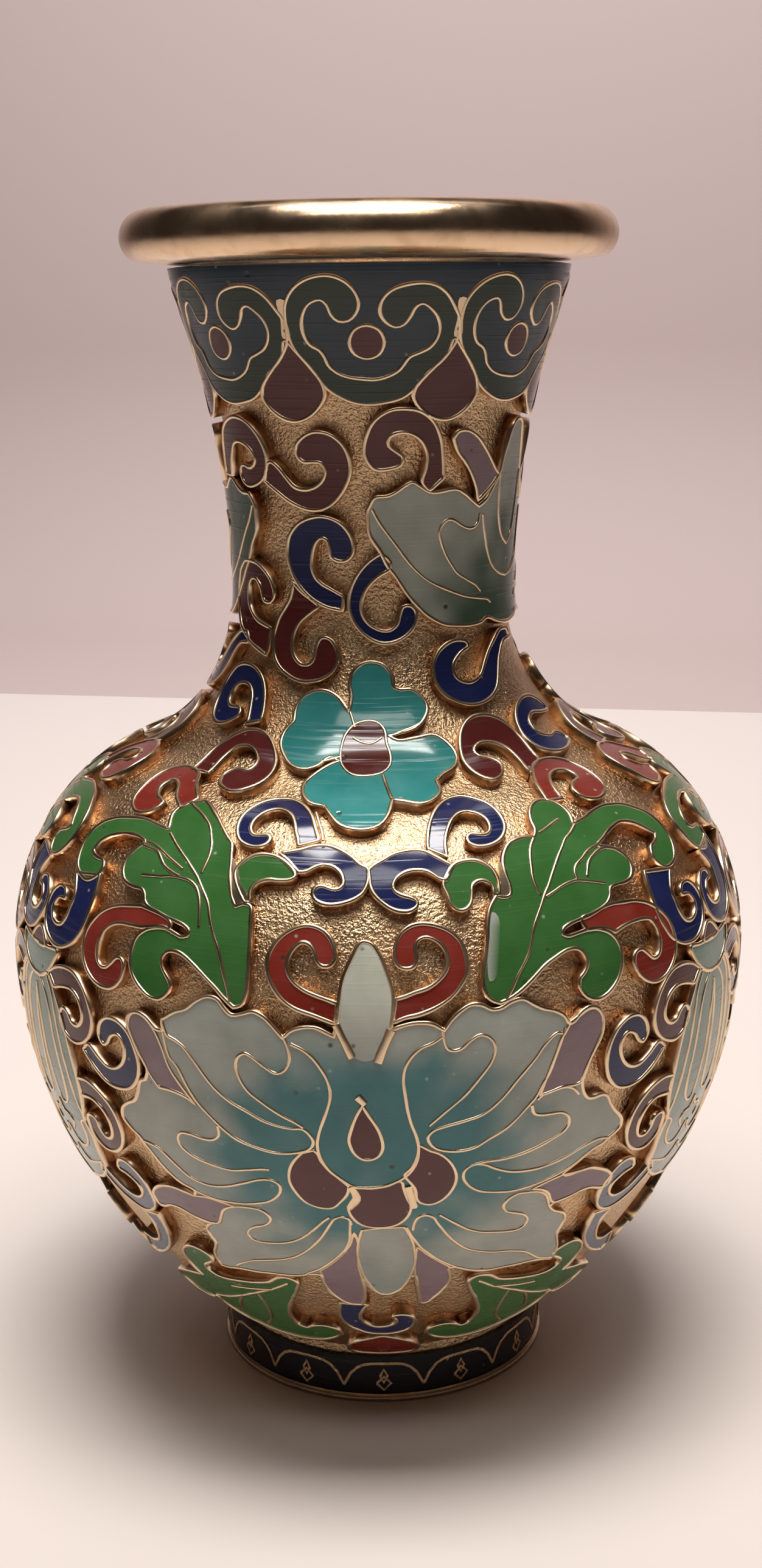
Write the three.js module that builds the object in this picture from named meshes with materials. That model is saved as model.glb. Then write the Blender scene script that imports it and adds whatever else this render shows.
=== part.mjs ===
// A cloisonne vase: a spun copper wall, gilt on its ground, with cells of enamel standing proud of it.
// Millimetres, +Z up, origin at the middle of the foot's underside, the front of the vase towards -Y.
import * as THREE from "three";
import { TessellateModifier } from "three/addons/modifiers/TessellateModifier.js";
import { mergeVertices } from "three/addons/utils/BufferGeometryUtils.js";

// Driving dimensions. Radii and heights of the wall are taken over the enamel.
const FOOT_RADIUS = 14.5;
const FOOT_HEIGHT = 4.2;
const FOOT_EDGE = 0.7; // height of the gilt edge that the vase stands on
const FOOT_WALL = 1.6; // metal behind the foot's enamel
const BELLY_RADIUS = 31.96;
const BELLY_HEIGHT = 38.9;
const SHOULDER_RADIUS = 20.6; // where the shoulder turns from swelling out to drawing in
const SHOULDER_HEIGHT = 56.1;
const SHOULDER_SLOPE = 21; // degrees above level at that turn
const SEAM_HEIGHT = 62; // the soldered seam between the body and the neck
const NECK_RADIUS = 12.06;
const NECK_HEIGHT = 69.6; // the narrowest place
const MOUTH_RADIUS = 16.6;
const MOUTH_HEIGHT = 95.4;
const RIM_RADIUS = 20.5; // outside of the rolled mouth
const RIM_HEIGHT = 4.6; // from the mouth of the wall to the top of the roll
const WALL = 1.1; // copper
const RELIEF = 0.9; // how far the enamel stands above the gilt ground
const INNER_ENAMEL = 0.5;
const BASE_THICKNESS = 1.2;
const BASE_RECESS = 2.4; // from the foot's underside up to the base
const COLLAR_HEIGHT = 0.9; // the plain enamel line under the rolled mouth
const CLEARANCE = 0.3; // between neighbouring pieces

// How finely round shapes are cut.
const ROUND_STEPS = 30;
const CURVE_STEPS = 5;
const WRAP_SAG = 0.0975; // how far a straight edge of a wrapped cell may fall inside the belly
const WRAP_ROUNDS = 8;

// The drawings that are wrapped round the wall: x runs round it and y up it.
const BODY_DRAWING = { radius: 32, low: FOOT_HEIGHT, high: SEAM_HEIGHT, bottom: -43.22, top: 52.22 };
const NECK_DRAWING = { radius: 12.5, low: SEAM_HEIGHT, high: MOUTH_HEIGHT, bottom: -10.3, top: 21.87 };
const LOTUSES = 3; // the body's pattern repeats this many times round the vase
const LOTUS_AXIS = -0.7; // where the first lotus is centred
const SCROLL_AXIS = 0.1; // where the scrolls and the lower leaves are mirrored
const NECK_FLOWERS = 2;
const RUYI_HEADS = 7;

const metal = (color) => new THREE.MeshStandardMaterial({ color, roughness: 0.28, metalness: 1 });
const glass = (color) => new THREE.MeshStandardMaterial({ color, roughness: 0.12, metalness: 0 });
const GILT = metal(0xcf9f5c);
const COPPER = metal(0xb9875a);
const SLATE = glass(0x3c4b5a);
const RUYI_GREEN = glass(0x34423a);
const MAROON = glass(0x6e3636);
const RED = glass(0x8a3a38);
const NAVY = glass(0x2c3470);
const LEAF = glass(0x3f8346);
const TURQUOISE = glass(0x45a0a0);
const PALE = glass(0xaab6b0);
const CELADON = glass(0x9cafa2);
const DARK = glass(0x1d2126);
const BLUE = glass(0x3f8fa5);

const vase = new THREE.Group();

function addPiece(name, geometry, material) {
  const mesh = new THREE.Mesh(geometry, material);
  mesh.name = name;
  vase.add(mesh);
}

// ---- The wall's outline ----

const at = (r, z) => new THREE.Vector2(r, z);

/** A point a given way off from another, at an angle in degrees above level. */
function away(from, length, degrees) {
  const angle = THREE.MathUtils.degToRad(degrees);
  return at(from.x + length * Math.cos(angle), from.y + length * Math.sin(angle));
}

/** The enamel surface from the foot to the mouth, as points from the bottom up. */
function wallOutline() {
  const foot = at(FOOT_RADIUS, FOOT_HEIGHT);
  const belly = at(BELLY_RADIUS, BELLY_HEIGHT);
  const turn = at(SHOULDER_RADIUS, SHOULDER_HEIGHT);
  const neck = at(NECK_RADIUS, NECK_HEIGHT);
  const mouth = at(MOUTH_RADIUS, MOUTH_HEIGHT);
  const bowlRise = BELLY_HEIGHT - FOOT_HEIGHT;
  const shoulderRise = SHOULDER_HEIGHT - BELLY_HEIGHT;
  const throatRise = NECK_HEIGHT - SHOULDER_HEIGHT;
  const flareRise = MOUTH_HEIGHT - NECK_HEIGHT;
  const shoulderRun = BELLY_RADIUS - SHOULDER_RADIUS;
  const throatRun = SHOULDER_RADIUS - NECK_RADIUS;
  const bend = (...points) => new THREE.CubicBezierCurve(...points).getPoints(CURVE_STEPS);
  const bowl = bend(foot, away(foot, 3, 31.5), away(belly, 0.56 * bowlRise, -90), belly);
  const shoulder = bend(
    belly,
    away(belly, 0.34 * shoulderRise, 90),
    away(turn, 0.79 * shoulderRun, -SHOULDER_SLOPE),
    turn,
  );
  const throat = bend(
    turn,
    away(turn, 0.79 * throatRun, 180 - SHOULDER_SLOPE),
    away(neck, 0.4 * throatRise, -90),
    neck,
  );
  const flare = bend(neck, away(neck, 0.57 * flareRise, 90), away(mouth, 0.11 * flareRise, -97), mouth);
  return [bowl, ...[shoulder, throat, flare].map((curve) => curve.slice(1))].flat();
}

/** The same outline moved inwards by a depth, square to itself. */
function inset(outline, depth) {
  return outline.map((point, i) => {
    const before = outline[Math.max(i - 1, 0)];
    const after = outline[Math.min(i + 1, outline.length - 1)];
    const along = after.clone().sub(before).normalize();
    return at(point.x - depth * along.y, point.y + depth * along.x);
  });
}

/** The part of an outline between two heights, with its ends cut exactly there. */
function between(outline, low, high) {
  const radiusAt = (z) => {
    const above = outline.findIndex((point) => point.y >= z);
    const next = outline[above < 1 ? 1 : above];
    const last = outline[above < 1 ? 0 : above - 1];
    return last.x + ((next.x - last.x) * (z - last.y)) / (next.y - last.y);
  };
  const inside = outline.filter((point) => point.y > low + 0.2 && point.y < high - 0.2);
  return [at(radiusAt(low), low), ...inside, at(radiusAt(high), high)];
}

const ENAMEL = wallOutline();
const GROUND = inset(ENAMEL, RELIEF);
const COPPER_INSIDE = inset(ENAMEL, RELIEF + WALL);
const LINING_OUTSIDE = inset(ENAMEL, RELIEF + WALL + CLEARANCE);
const LINING_INSIDE = inset(ENAMEL, RELIEF + WALL + CLEARANCE + INNER_ENAMEL);

/** A body turned about the vase's axis from an outline that runs up its outside and down its inside. */
function turned(points) {
  const onAxis = points[0].x === 0 && points.at(-1).x === 0;
  const profile = onAxis ? points : [...points, points[0]];
  return new THREE.LatheGeometry(profile, ROUND_STEPS).rotateX(Math.PI / 2);
}

// ---- Metal and linings ----

const baseTop = BASE_RECESS + BASE_THICKNESS;
const bodyBottom = FOOT_HEIGHT + CLEARANCE;
const bodyInside = bodyBottom + BASE_THICKNESS;
const footInside = FOOT_RADIUS - RELIEF - FOOT_WALL;
const mouthTop = MOUTH_HEIGHT + RIM_HEIGHT;

function bodyShell() {
  const outside = between(GROUND, bodyBottom, SEAM_HEIGHT - CLEARANCE);
  const inside = between(COPPER_INSIDE, bodyInside, SEAM_HEIGHT - CLEARANCE);
  return turned([at(0, bodyBottom), ...outside, ...inside.reverse(), at(0, bodyInside)]);
}

function neckShell() {
  const outside = between(GROUND, SEAM_HEIGHT, MOUTH_HEIGHT);
  const inside = between(COPPER_INSIDE, SEAM_HEIGHT, MOUTH_HEIGHT);
  return turned([...outside, ...inside.reverse()]);
}

function footRing() {
  const wallRadius = FOOT_RADIUS - RELIEF;
  return turned([
    at(FOOT_RADIUS, 0),
    at(FOOT_RADIUS + 0.25, FOOT_EDGE / 2),
    at(FOOT_RADIUS, FOOT_EDGE),
    at(wallRadius, FOOT_EDGE),
    at(wallRadius, FOOT_HEIGHT),
    at(footInside, FOOT_HEIGHT),
    at(footInside, 0),
  ]);
}

function footEnamel() {
  const inner = FOOT_RADIUS - RELIEF + CLEARANCE;
  const low = FOOT_EDGE + CLEARANCE;
  return turned([at(FOOT_RADIUS, low), at(FOOT_RADIUS, FOOT_HEIGHT), at(inner, FOOT_HEIGHT), at(inner, low)]);
}

function basePlate() {
  const radius = footInside - CLEARANCE;
  return turned([at(0, BASE_RECESS), at(radius, BASE_RECESS), at(radius, baseTop), at(0, baseTop)]);
}

function mouthRim() {
  const low = MOUTH_HEIGHT + CLEARANCE;
  const rollRadius = (mouthTop - low) / 2;
  const middle = at(RIM_RADIUS - rollRadius, low + rollRadius);
  const roll = Array.from({ length: 9 }, (_, i) => away(middle, rollRadius, -50 + i * 17.5));
  const throat = MOUTH_RADIUS - RELIEF - WALL;
  const lip = away(at(throat + rollRadius, middle.y), rollRadius, 135);
  return turned([at(MOUTH_RADIUS, low), ...roll, lip, at(throat, middle.y), at(throat, low)]);
}

function collarLine() {
  const outside = between(ENAMEL, MOUTH_HEIGHT - COLLAR_HEIGHT, MOUTH_HEIGHT);
  const inside = between(inset(ENAMEL, RELIEF - CLEARANCE), MOUTH_HEIGHT - COLLAR_HEIGHT, MOUTH_HEIGHT);
  return turned([...outside, ...inside.reverse()]);
}

function bodyLining() {
  const floor = bodyInside + CLEARANCE;
  const top = SEAM_HEIGHT - CLEARANCE;
  const outside = between(LINING_OUTSIDE, floor, top);
  const inside = between(LINING_INSIDE, floor + INNER_ENAMEL, top);
  return turned([at(0, floor), ...outside, ...inside.reverse(), at(0, floor + INNER_ENAMEL)]);
}

function neckLining() {
  const outside = between(LINING_OUTSIDE, SEAM_HEIGHT, MOUTH_HEIGHT);
  const inside = between(LINING_INSIDE, SEAM_HEIGHT, MOUTH_HEIGHT);
  return turned([...outside, ...inside.reverse()]);
}

function baseEnamel() {
  const radius = footInside - CLEARANCE;
  const top = BASE_RECESS - CLEARANCE;
  const low = top - INNER_ENAMEL;
  return turned([at(0, low), at(radius, low), at(radius, top), at(0, top)]);
}

addPiece("body_shell", bodyShell(), COPPER);
addPiece("neck_shell", neckShell(), COPPER);
addPiece("mouth_rim", mouthRim(), GILT);
addPiece("foot_ring", footRing(), GILT);
addPiece("foot_enamel_band", footEnamel(), DARK);
addPiece("base_plate", basePlate(), COPPER);
addPiece("base_enamel", baseEnamel(), BLUE);
addPiece("inner_enamel_body", bodyLining(), BLUE);
addPiece("inner_enamel_neck", neckLining(), BLUE);
addPiece("collar_enamel_line", collarLine(), SLATE);

// ---- Cells of enamel ----

/** Wraps a flat drawing round the wall, stretched evenly at every height, so that its shapes stay true. */
class Wrap {
  constructor({ radius, low, high, bottom, top }) {
    this.radius = radius;
    this.rise = [0];
    for (let i = 1; i < ENAMEL.length; i += 1) {
      const step = ENAMEL[i].distanceTo(ENAMEL[i - 1]);
      this.rise.push(this.rise[i - 1] + (2 * step) / (ENAMEL[i].x + ENAMEL[i - 1].x));
    }
    const from = this.drawn(low);
    const to = this.drawn(high);
    const scale = (top - bottom) / (to - from);
    this.rise = this.rise.map((value) => bottom + scale * (value - from));
  }

  /** The value beside a place in a rising list, taken straight between its neighbours. */
  static read(places, values, place) {
    const found = places.findIndex((entry) => entry >= place);
    const i = found < 0 ? places.length - 1 : Math.max(found, 1);
    const share = (place - places[i - 1]) / (places[i] - places[i - 1]);
    return values[i - 1] + share * (values[i] - values[i - 1]);
  }

  /** The drawing's y at a height of the enamel's surface. */
  drawn(height) {
    return Wrap.read(ENAMEL.map((point) => point.y), this.rise, height);
  }

  /** The place in the vase of a point on the drawing, at a depth under the enamel's surface. */
  place(x, y, depth) {
    const surface = depth > 0 ? inset(ENAMEL, depth) : ENAMEL;
    const r = Wrap.read(this.rise, surface.map((point) => point.x), y);
    const z = Wrap.read(this.rise, surface.map((point) => point.y), y);
    const angle = x / this.radius;
    return [r * Math.sin(angle), -r * Math.cos(angle), z];
  }
}

const bodyWrap = new Wrap(BODY_DRAWING);
const neckWrap = new Wrap(NECK_DRAWING);
const wrapEdge = BODY_DRAWING.radius * Math.sqrt((8 * WRAP_SAG) / BELLY_RADIUS);
const tessellate = new TessellateModifier(wrapEdge, WRAP_ROUNDS);

/** A cell of enamel: a flat outline given its thickness and wrapped onto the wall. */
function cell(wrap, outline, shift = 0) {
  const thickness = RELIEF - CLEARANCE;
  const shape = new THREE.Shape(outline.map(([x, y]) => at(x, y)));
  const flat = new THREE.ExtrudeGeometry(shape, { depth: thickness, bevelEnabled: false });
  flat.deleteAttribute("normal");
  flat.deleteAttribute("uv");
  const fine = mergeVertices(tessellate.modify(flat), 1e-4);
  const position = fine.getAttribute("position");
  for (let i = 0; i < position.count; i += 1) {
    const depth = position.getZ(i) > thickness / 2 ? 0 : thickness;
    position.setXYZ(i, ...wrap.place(position.getX(i) + shift, position.getY(i), depth));
  }
  return fine;
}

const mirrored = (outline, axis) => outline.map(([x, y]) => [2 * axis - x, y]).reverse();

// Outlines on the body's drawing, in its millimetres. The front of the vase is x = 0.
const LOTUS = [
  [-0.9, 17.6], [-2.2, 16], [-3, 13.5], [-2.8, 10.8], [-4.5, 11.1], [-6, 11.1], [-7.2, 10.3], [-8.2, 11.2],
  [-9.8, 11.8], [-11.4, 11.6], [-12.8, 12.2], [-15.2, 11.4], [-17, 10.7], [-18.2, 9.9], [-19.6, 10.5],
  [-20.8, 9.6], [-18.6, 5], [-20, 4.6], [-21, 2.6], [-22.8, 1.2], [-21, -1.1], [-18.5, -4.6], [-16.4, -5.8],
  [-20.5, -5.9], [-22, -7.3], [-21.4, -8.6], [-16.2, -9.2], [-16.9, -10.5], [-16.5, -12], [-17.3, -15.8],
  [-11, -15.8], [-6, -14.5], [-5.2, -18], [-3.3, -20], [-1.8, -19.6], [-1.7, -15.2], [-0.4, -17.5],
  [1.1, -17.5], [2.8, -15], [3.6, -17], [4.6, -20], [6.6, -17.4], [6.6, -13.8], [10.5, -15], [17.9, -15.4],
  [17.3, -12], [17.5, -10], [15.7, -7.4], [21.2, -6.9], [21.6, -5.8], [20.4, -4.6], [16.2, -3.8],
  [20, -1.2], [21.1, -0.2], [19.4, 2.2], [18.4, 3.3], [16.4, 4.2], [18, 9.6], [17, 10.9], [14.8, 10.1],
  [12.4, 11.7], [11, 12.3], [8.6, 11.9], [7, 12.4], [4.8, 10.7], [3.5, 11.4], [0.9, 11.2], [0.7, 14.4],
];
const LEAF_LEFT = [
  [-10.7, 12.8], [-10.4, 17], [-10.9, 20.2], [-12.2, 20.4], [-13.5, 22.4], [-13.8, 25.6], [-16.7, 28.7],
  [-19.4, 30.6], [-21.8, 30], [-22.5, 28.6], [-21.8, 26.4], [-26, 26.6], [-30, 25.7], [-32.2, 23.4],
  [-31.4, 21], [-28.6, 20.1], [-27.7, 21.4], [-30, 22.2], [-29, 23.8], [-26, 24.7], [-23.4, 24],
  [-24.8, 22.2], [-24, 20.6], [-21.6, 20.2], [-20.4, 19], [-15.9, 17.9], [-18.3, 17.3], [-20.4, 16.4],
  [-20.9, 14.6], [-19.8, 12.6], [-18, 12], [-16.9, 12.9], [-17.8, 14.6], [-16.8, 15.9], [-15, 15.3],
];
const LEAF_RIGHT = [
  [9.3, 12.8], [12.6, 14.8], [15.5, 15.8], [17.1, 15], [16.2, 13.2], [16.8, 12.2], [18.2, 11.6], [20, 13],
  [20.5, 14.8], [19.9, 16], [18.3, 16.8], [15.6, 17.5], [20.2, 18.7], [21.3, 20], [24.1, 20.6],
  [24.6, 22], [23.4, 23.4], [22, 24.1], [25.6, 25.4], [28, 24.9], [29.8, 23.4], [28, 22], [28.9, 20.2],
  [31, 20.4], [31.8, 22.4], [31.2, 25], [29, 27.1], [25.6, 27.8], [20.9, 26.6], [20.8, 28.6], [19, 30.3],
  [17.2, 29.9], [16.2, 27.6], [14.4, 26], [12.2, 25.2], [11.4, 23], [11.2, 20.7], [9.7, 20.4], [8.6, 15],
];
const CENTRE_SCROLL = [
  [-8.6, 25.3], [-6.4, 26.1], [-4.5, 26.4], [-2.6, 25.6], [-1.5, 24.2], [-0.1, 23.8], [0.8, 25], [2.4, 25.7],
  [4, 25.8], [5.4, 25.2], [6.5, 24.1], [4.9, 22.9], [3.4, 23.8], [2, 23.2], [1.6, 22.2], [3.2, 21.2],
  [3, 20.4], [1.8, 20.2], [0.4, 21], [-0.3, 22.4], [-1.3, 22.6], [-2.4, 21.4], [-4, 20.8], [-5.1, 21.4],
  [-5.1, 22.3], [-3, 22.3], [-2.9, 23.1], [-3.6, 24], [-4.8, 24.3], [-6.8, 23.5],
];
const SIDE_SCROLL = [
  [-21.1, 18.5], [-24.5, 18.2], [-26.4, 16.4], [-26.7, 14.6], [-25.9, 13], [-24.4, 12], [-22.6, 12],
  [-21.7, 13], [-22, 14.2], [-22.8, 14.3], [-23.9, 13.3], [-24.7, 14], [-24.8, 15.4], [-23.8, 16.6],
  [-21.2, 16.9], [-20.4, 17.6],
];
const LOWER_LEAF = [
  [-9, -16.8], [-9.4, -16.2], [-12.5, -18.2], [-18, -18.9], [-20.2, -17.6], [-18.6, -15.4], [-19.8, -14.2],
  [-21.6, -14.8], [-22.4, -17.4], [-22, -20.2], [-21.5, -24], [-19, -29], [-15, -32], [-11.5, -33],
  [-7, -33], [-5.8, -29], [-6.2, -26.4], [-8, -26.4], [-9.6, -27.8], [-11.6, -26.6], [-11.4, -23.6],
];
const SHOULDER_FLOWER = [
  [-2, 29], [-0.2, 29.9], [1.1, 32.2], [2, 33.1], [4.4, 32.3], [6.2, 32.9], [7.3, 34.6], [7.9, 37.2],
  [10.4, 38.8], [11.9, 41.6], [11.4, 44], [9, 45.6], [9.4, 48], [8, 50.5], [4.6, 51.2], [2.2, 55],
  [-1.4, 57], [-5.4, 55.4], [-6.6, 51.8], [-8, 49.4], [-11, 51.2], [-14.4, 49.8], [-15.2, 46.8],
  [-15, 44], [-13.4, 41], [-10.4, 39], [-8.8, 36.8], [-8.8, 34.4], [-7.2, 32.6], [-5.4, 31.4], [-4.4, 29.8],
];
// The right half of a side flower, from its own axis.
const SIDE_FLOWER_HALF = [
  [0, 14.2], [1.4, 13.9], [2.9, 12.9], [2.6, 11.6], [3, 10.4], [4, 8.9], [4.8, 7], [5.4, 4], [5.5, 1],
  [5, -1.4], [4.4, -1.9], [5.1, -3.6], [5.1, -4.8], [5.4, -6.8], [4.5, -8], [3.3, -8.9], [1.2, -9.8],
  [0, -10.2],
];

// Outlines on the neck's drawing.
const RUYI_HEAD = [
  [-0.2, 13.1], [-2.4, 13.6], [-3.7, 15], [-4.9, 16.7], [-5, 19], [-4.4, 20.2], [-2.6, 20.8], [-1, 20.2],
  [-0.3, 19.6], [0.9, 20.2], [2.6, 20.7], [4.4, 20.2], [5.3, 18.8], [5.1, 16.9], [3.7, 15], [2.4, 13.6],
];
const COLLAR_DROP = [
  [-5.6, 16.6], [-6.9, 15.2], [-7.6, 13.6], [-6.9, 12.2], [-5.6, 11.8], [-4.4, 12.2], [-3.9, 13.4], [-4.7, 15],
];
const NECK_SCROLL = [
  [0.2, 8.2], [-0.3, 10], [0.8, 11.9], [2.6, 12.3], [4.4, 11.2], [5.4, 9.4], [5.6, 6.9], [4.4, 6.9],
  [4.2, 9], [3.4, 10.4], [2.2, 10.7], [1.2, 10], [2.2, 8.8], [1.4, 8],
];
const NECK_FLOWER = [
  [0, 5.4], [1.6, 6.1], [3, 6.7], [5.6, 6.1], [8.3, 5.8], [9.4, 4.6], [10.6, 6.6], [12, 10.8], [13, 11.4],
  [14, 10.8], [15.4, 6.6], [16.6, 4.6], [17.7, 5.8], [20.4, 6.1], [23, 6.7], [24.4, 6.1], [26, 5.4],
  [24.8, 2], [22.4, -2], [19, -4.6], [14, -5.2], [12, -5.2], [7, -4.6], [3.6, -2], [1.2, 2],
];

/** Adds a cell as many times as its pattern repeats round the vase, evenly spaced. */
function addRound(name, wrap, outline, repeats, material, start = 0) {
  const spacing = (2 * Math.PI * wrap.radius) / repeats;
  for (let i = 0; i < repeats; i += 1) {
    addPiece(`${name}_${i + 1}`, cell(wrap, outline, start + spacing * i), material);
  }
}

const sideFlower = [...SIDE_FLOWER_HALF, ...mirrored(SIDE_FLOWER_HALF.slice(1, -1), 0)];
const collarTop = neckWrap.drawn(MOUTH_HEIGHT - COLLAR_HEIGHT - CLEARANCE);
const headTop = Math.max(...RUYI_HEAD.map(([, y]) => y));
const hung = ([x, y]) => [x, y + collarTop - headTop]; // the collar hangs from the plain line above it
const betweenLotuses = LOTUS_AXIS + (Math.PI * bodyWrap.radius) / LOTUSES;
addRound("lotus", bodyWrap, LOTUS, LOTUSES, PALE);
addRound("leaf_left", bodyWrap, LEAF_LEFT, LOTUSES, LEAF);
addRound("leaf_right", bodyWrap, LEAF_RIGHT, LOTUSES, LEAF);
addRound("centre_scroll", bodyWrap, CENTRE_SCROLL, LOTUSES, NAVY);
addRound("side_scroll_left", bodyWrap, SIDE_SCROLL, LOTUSES, RED);
addRound("side_scroll_right", bodyWrap, mirrored(SIDE_SCROLL, SCROLL_AXIS), LOTUSES, RED);
addRound("lower_leaf_left", bodyWrap, LOWER_LEAF, LOTUSES, LEAF);
addRound("lower_leaf_right", bodyWrap, mirrored(LOWER_LEAF, SCROLL_AXIS), LOTUSES, LEAF);
addRound("shoulder_flower", bodyWrap, SHOULDER_FLOWER, LOTUSES, TURQUOISE);
addRound("side_flower", bodyWrap, sideFlower, LOTUSES, CELADON, betweenLotuses);
addRound("neck_scroll", neckWrap, NECK_SCROLL, NECK_FLOWERS, MAROON);
addRound("neck_flower", neckWrap, NECK_FLOWER, NECK_FLOWERS, PALE);
addRound("ruyi_head", neckWrap, RUYI_HEAD.map(hung), RUYI_HEADS, RUYI_GREEN);
addRound("collar_drop", neckWrap, COLLAR_DROP.map(hung), RUYI_HEADS, MAROON);

export default vase;
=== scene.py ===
"""A small cloisonne vase: gilt copper, with cells of enamel between gilt wires.

Metres, +Z up, origin at the middle of the foot's underside, the front of the vase towards -Y.
The body, neck, mouth and foot are turned. The enamel is drawn flat and wrapped round the wall.
"""

import logging
import math
from abc import ABC, abstractmethod
from dataclasses import dataclass, field
from enum import Enum
from typing import Callable, Iterable, Optional, Sequence, Union

import bmesh
import bpy
import numpy as np
from mathutils import Matrix, Vector, noise
from mathutils.geometry import delaunay_2d_cdt


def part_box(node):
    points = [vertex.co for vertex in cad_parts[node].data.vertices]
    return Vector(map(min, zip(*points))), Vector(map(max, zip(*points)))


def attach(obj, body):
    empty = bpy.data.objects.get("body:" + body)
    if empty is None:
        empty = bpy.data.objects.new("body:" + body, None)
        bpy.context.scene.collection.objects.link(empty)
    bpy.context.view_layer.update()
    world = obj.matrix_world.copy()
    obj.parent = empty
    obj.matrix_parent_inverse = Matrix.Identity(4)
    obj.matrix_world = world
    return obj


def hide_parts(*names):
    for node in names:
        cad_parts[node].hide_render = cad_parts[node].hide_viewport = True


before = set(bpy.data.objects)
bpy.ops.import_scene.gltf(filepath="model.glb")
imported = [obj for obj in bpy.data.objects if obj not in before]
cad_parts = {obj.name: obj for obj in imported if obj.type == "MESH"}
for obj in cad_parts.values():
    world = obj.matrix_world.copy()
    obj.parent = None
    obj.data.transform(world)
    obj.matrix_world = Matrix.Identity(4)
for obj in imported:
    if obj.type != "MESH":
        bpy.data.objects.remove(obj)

log = logging.getLogger("vase")

MM = 0.001
ROOT = "root"

# ---- The drawing of the enamel ----
# Points are "x,y" in millimetres on a flat drawing that is wrapped round the wall: x runs round it and y
# up it. A c after a point makes it a corner, and between corners a line runs smoothly through its points.
# Each line is the middle of a wire.

LOTUS_EDGE = """
-1.2,17.75 -0.5,17.6 0.2,16.6 0.8,15 1.1,13.6 1,12 0.9,11c 1.8,11.3 2.8,11.5 3.9,11.4 4.6,11
4.9,10.8c 5.5,11.6 6.2,12.2 7,12.6 7.9,12.5 8.6,12.1 9.3,12.1 10.2,12.5 11.2,12.6 12,12.1 12.8,11.6
13.8,11.3 14.6,10.8 15,10.1c 15.4,10.2 16.2,10.8 17,11 17.7,10.7 18.1,10 18,8.7 17.2,7.3 16.6,6.1
16.3,5.2c 16.5,4.3 17,3.5 17.6,3.35 18.4,3.4 19,3.1 19.4,2.4 20,1.6 20.7,0.9 21.1,0.3 21.1,-0.3
20.6,-0.75c 19.9,-1.1c 19.4,-1.5 18.4,-1.8 17.4,-2.5 16.2,-3.3 15.8,-3.6c 16.1,-3.9 17.4,-3.85
18.8,-3.9 20,-4.4 21,-5 21.7,-5.7 21.8,-6.4 21.4,-6.9 20.6,-6.8 19.6,-6.4 18.6,-6.3 17.4,-6.6
16.4,-6.8 15.7,-6.9c 15.3,-7.3 15.8,-8 16.6,-8.4 17.3,-8.9 17.6,-9.8 17.5,-10.6 17.4,-11.6
17.7,-12.6 18.1,-13.6 18.3,-14.6 18.4,-15.6c 18.2,-16.1c 17.4,-15.7 16,-15.3 13,-15.2 10.4,-15.1
8.6,-14.6 7,-13.7c 6.5,-13.8 6.6,-14.6 6.8,-15.6 6.7,-16.8 6.4,-17.6 5.8,-18.8 5,-20 4.2,-20.3
3.9,-19 3.7,-17.6 3.5,-16.4 3.3,-14.8c 2.9,-14.6 2.4,-16 1.7,-17.2 0.8,-17.9 -0.2,-17.8 -1,-17
-1.6,-15.6c -1.9,-15 -1.8,-17 -1.9,-19 -2.2,-20.2c -3.6,-20 -4.9,-19 -5.6,-17.6 -5.9,-16 -5.9,-14.6c
-7,-14.6 -8.2,-15.1 -9.6,-15.3 -11.2,-15.4 -13,-15.6 -15,-15.7 -16.5,-16 -17.2,-15.9c -17.3,-14.8
-17.1,-13.6 -16.6,-12.6 -16.4,-11.9 -16.7,-11 -16.8,-10.2 -16.4,-9.5 -15.9,-9.1c -16.8,-9 -18,-8.6
-19.2,-8.1 -20.2,-8.1 -21,-8.5 -21.6,-8.6 -22,-8 -22,-7.3 -21.5,-6.5 -20.6,-5.9 -19.4,-5.6 -18,-5.7
-16.8,-5.9c -16.6,-5.2 -18,-4.6 -19,-3.7 -20.2,-2.2 -21,-1.2c -21.2,-0.8 -22.2,0 -22.8,0.8 -22.6,1.6
-21.8,2.3 -20.9,2.8 -20.4,3.7 -20,4.7 -19.4,5c -19.1,5.9 -20,7.6 -20.8,9.2 -20.8,10 -20,10.5
-19,10.3 -18,9.5 -17.3,9.5c -17.4,10.4c -16.2,11.2 -15.2,11.6 -14.4,12.3 -13.4,12.8 -12.6,12.7
-11.9,12 -11.3,11.6 -10.4,11.8 -9.6,12.05 -8.7,11.7 -7.9,10.9 -7.2,10.2c -6.6,10.8 -5.8,11.1
-4.8,11.15 -3.9,10.8 -3.3,10.5c -3.1,11.6c -3,13 -2.7,14.8 -2.1,16.4 -1.6,17.4
"""
LOTUS_BUD = """
-1.2,17.7 -0.4,17.4 0.4,16 1,14 1,12 0.6,10.4 -0.1,9 -1,8.6 -1.9,9 -2.6,10.2 -3.1,11.6 -3,13 -2.6,15
-1.9,16.8
"""
LOTUS_TEARDROP = """
-1.3,5c -0.9,4.2 -0.3,3.2 0.1,2.1 0.2,1.2 -0.1,0.5 -0.7,0.15 -1.4,0.2 -2.1,0.8 -2.4,1.8 -2.2,2.8
-1.8,4
"""
LOTUS_HEART_LEFT = """
-5.2,0.9c -6.1,0.6c -6.8,-0.2 -7.3,-1.2 -7.4,-2.4 -7,-3.6 -6.2,-4.6 -5,-5.1 -4,-5 -3.3,-4.3
-2.7,-3.4 -2.6,-2.6c -3.4,-1.8 -4.2,-0.9 -4.7,-0.1 -4.9,0.6
"""
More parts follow.
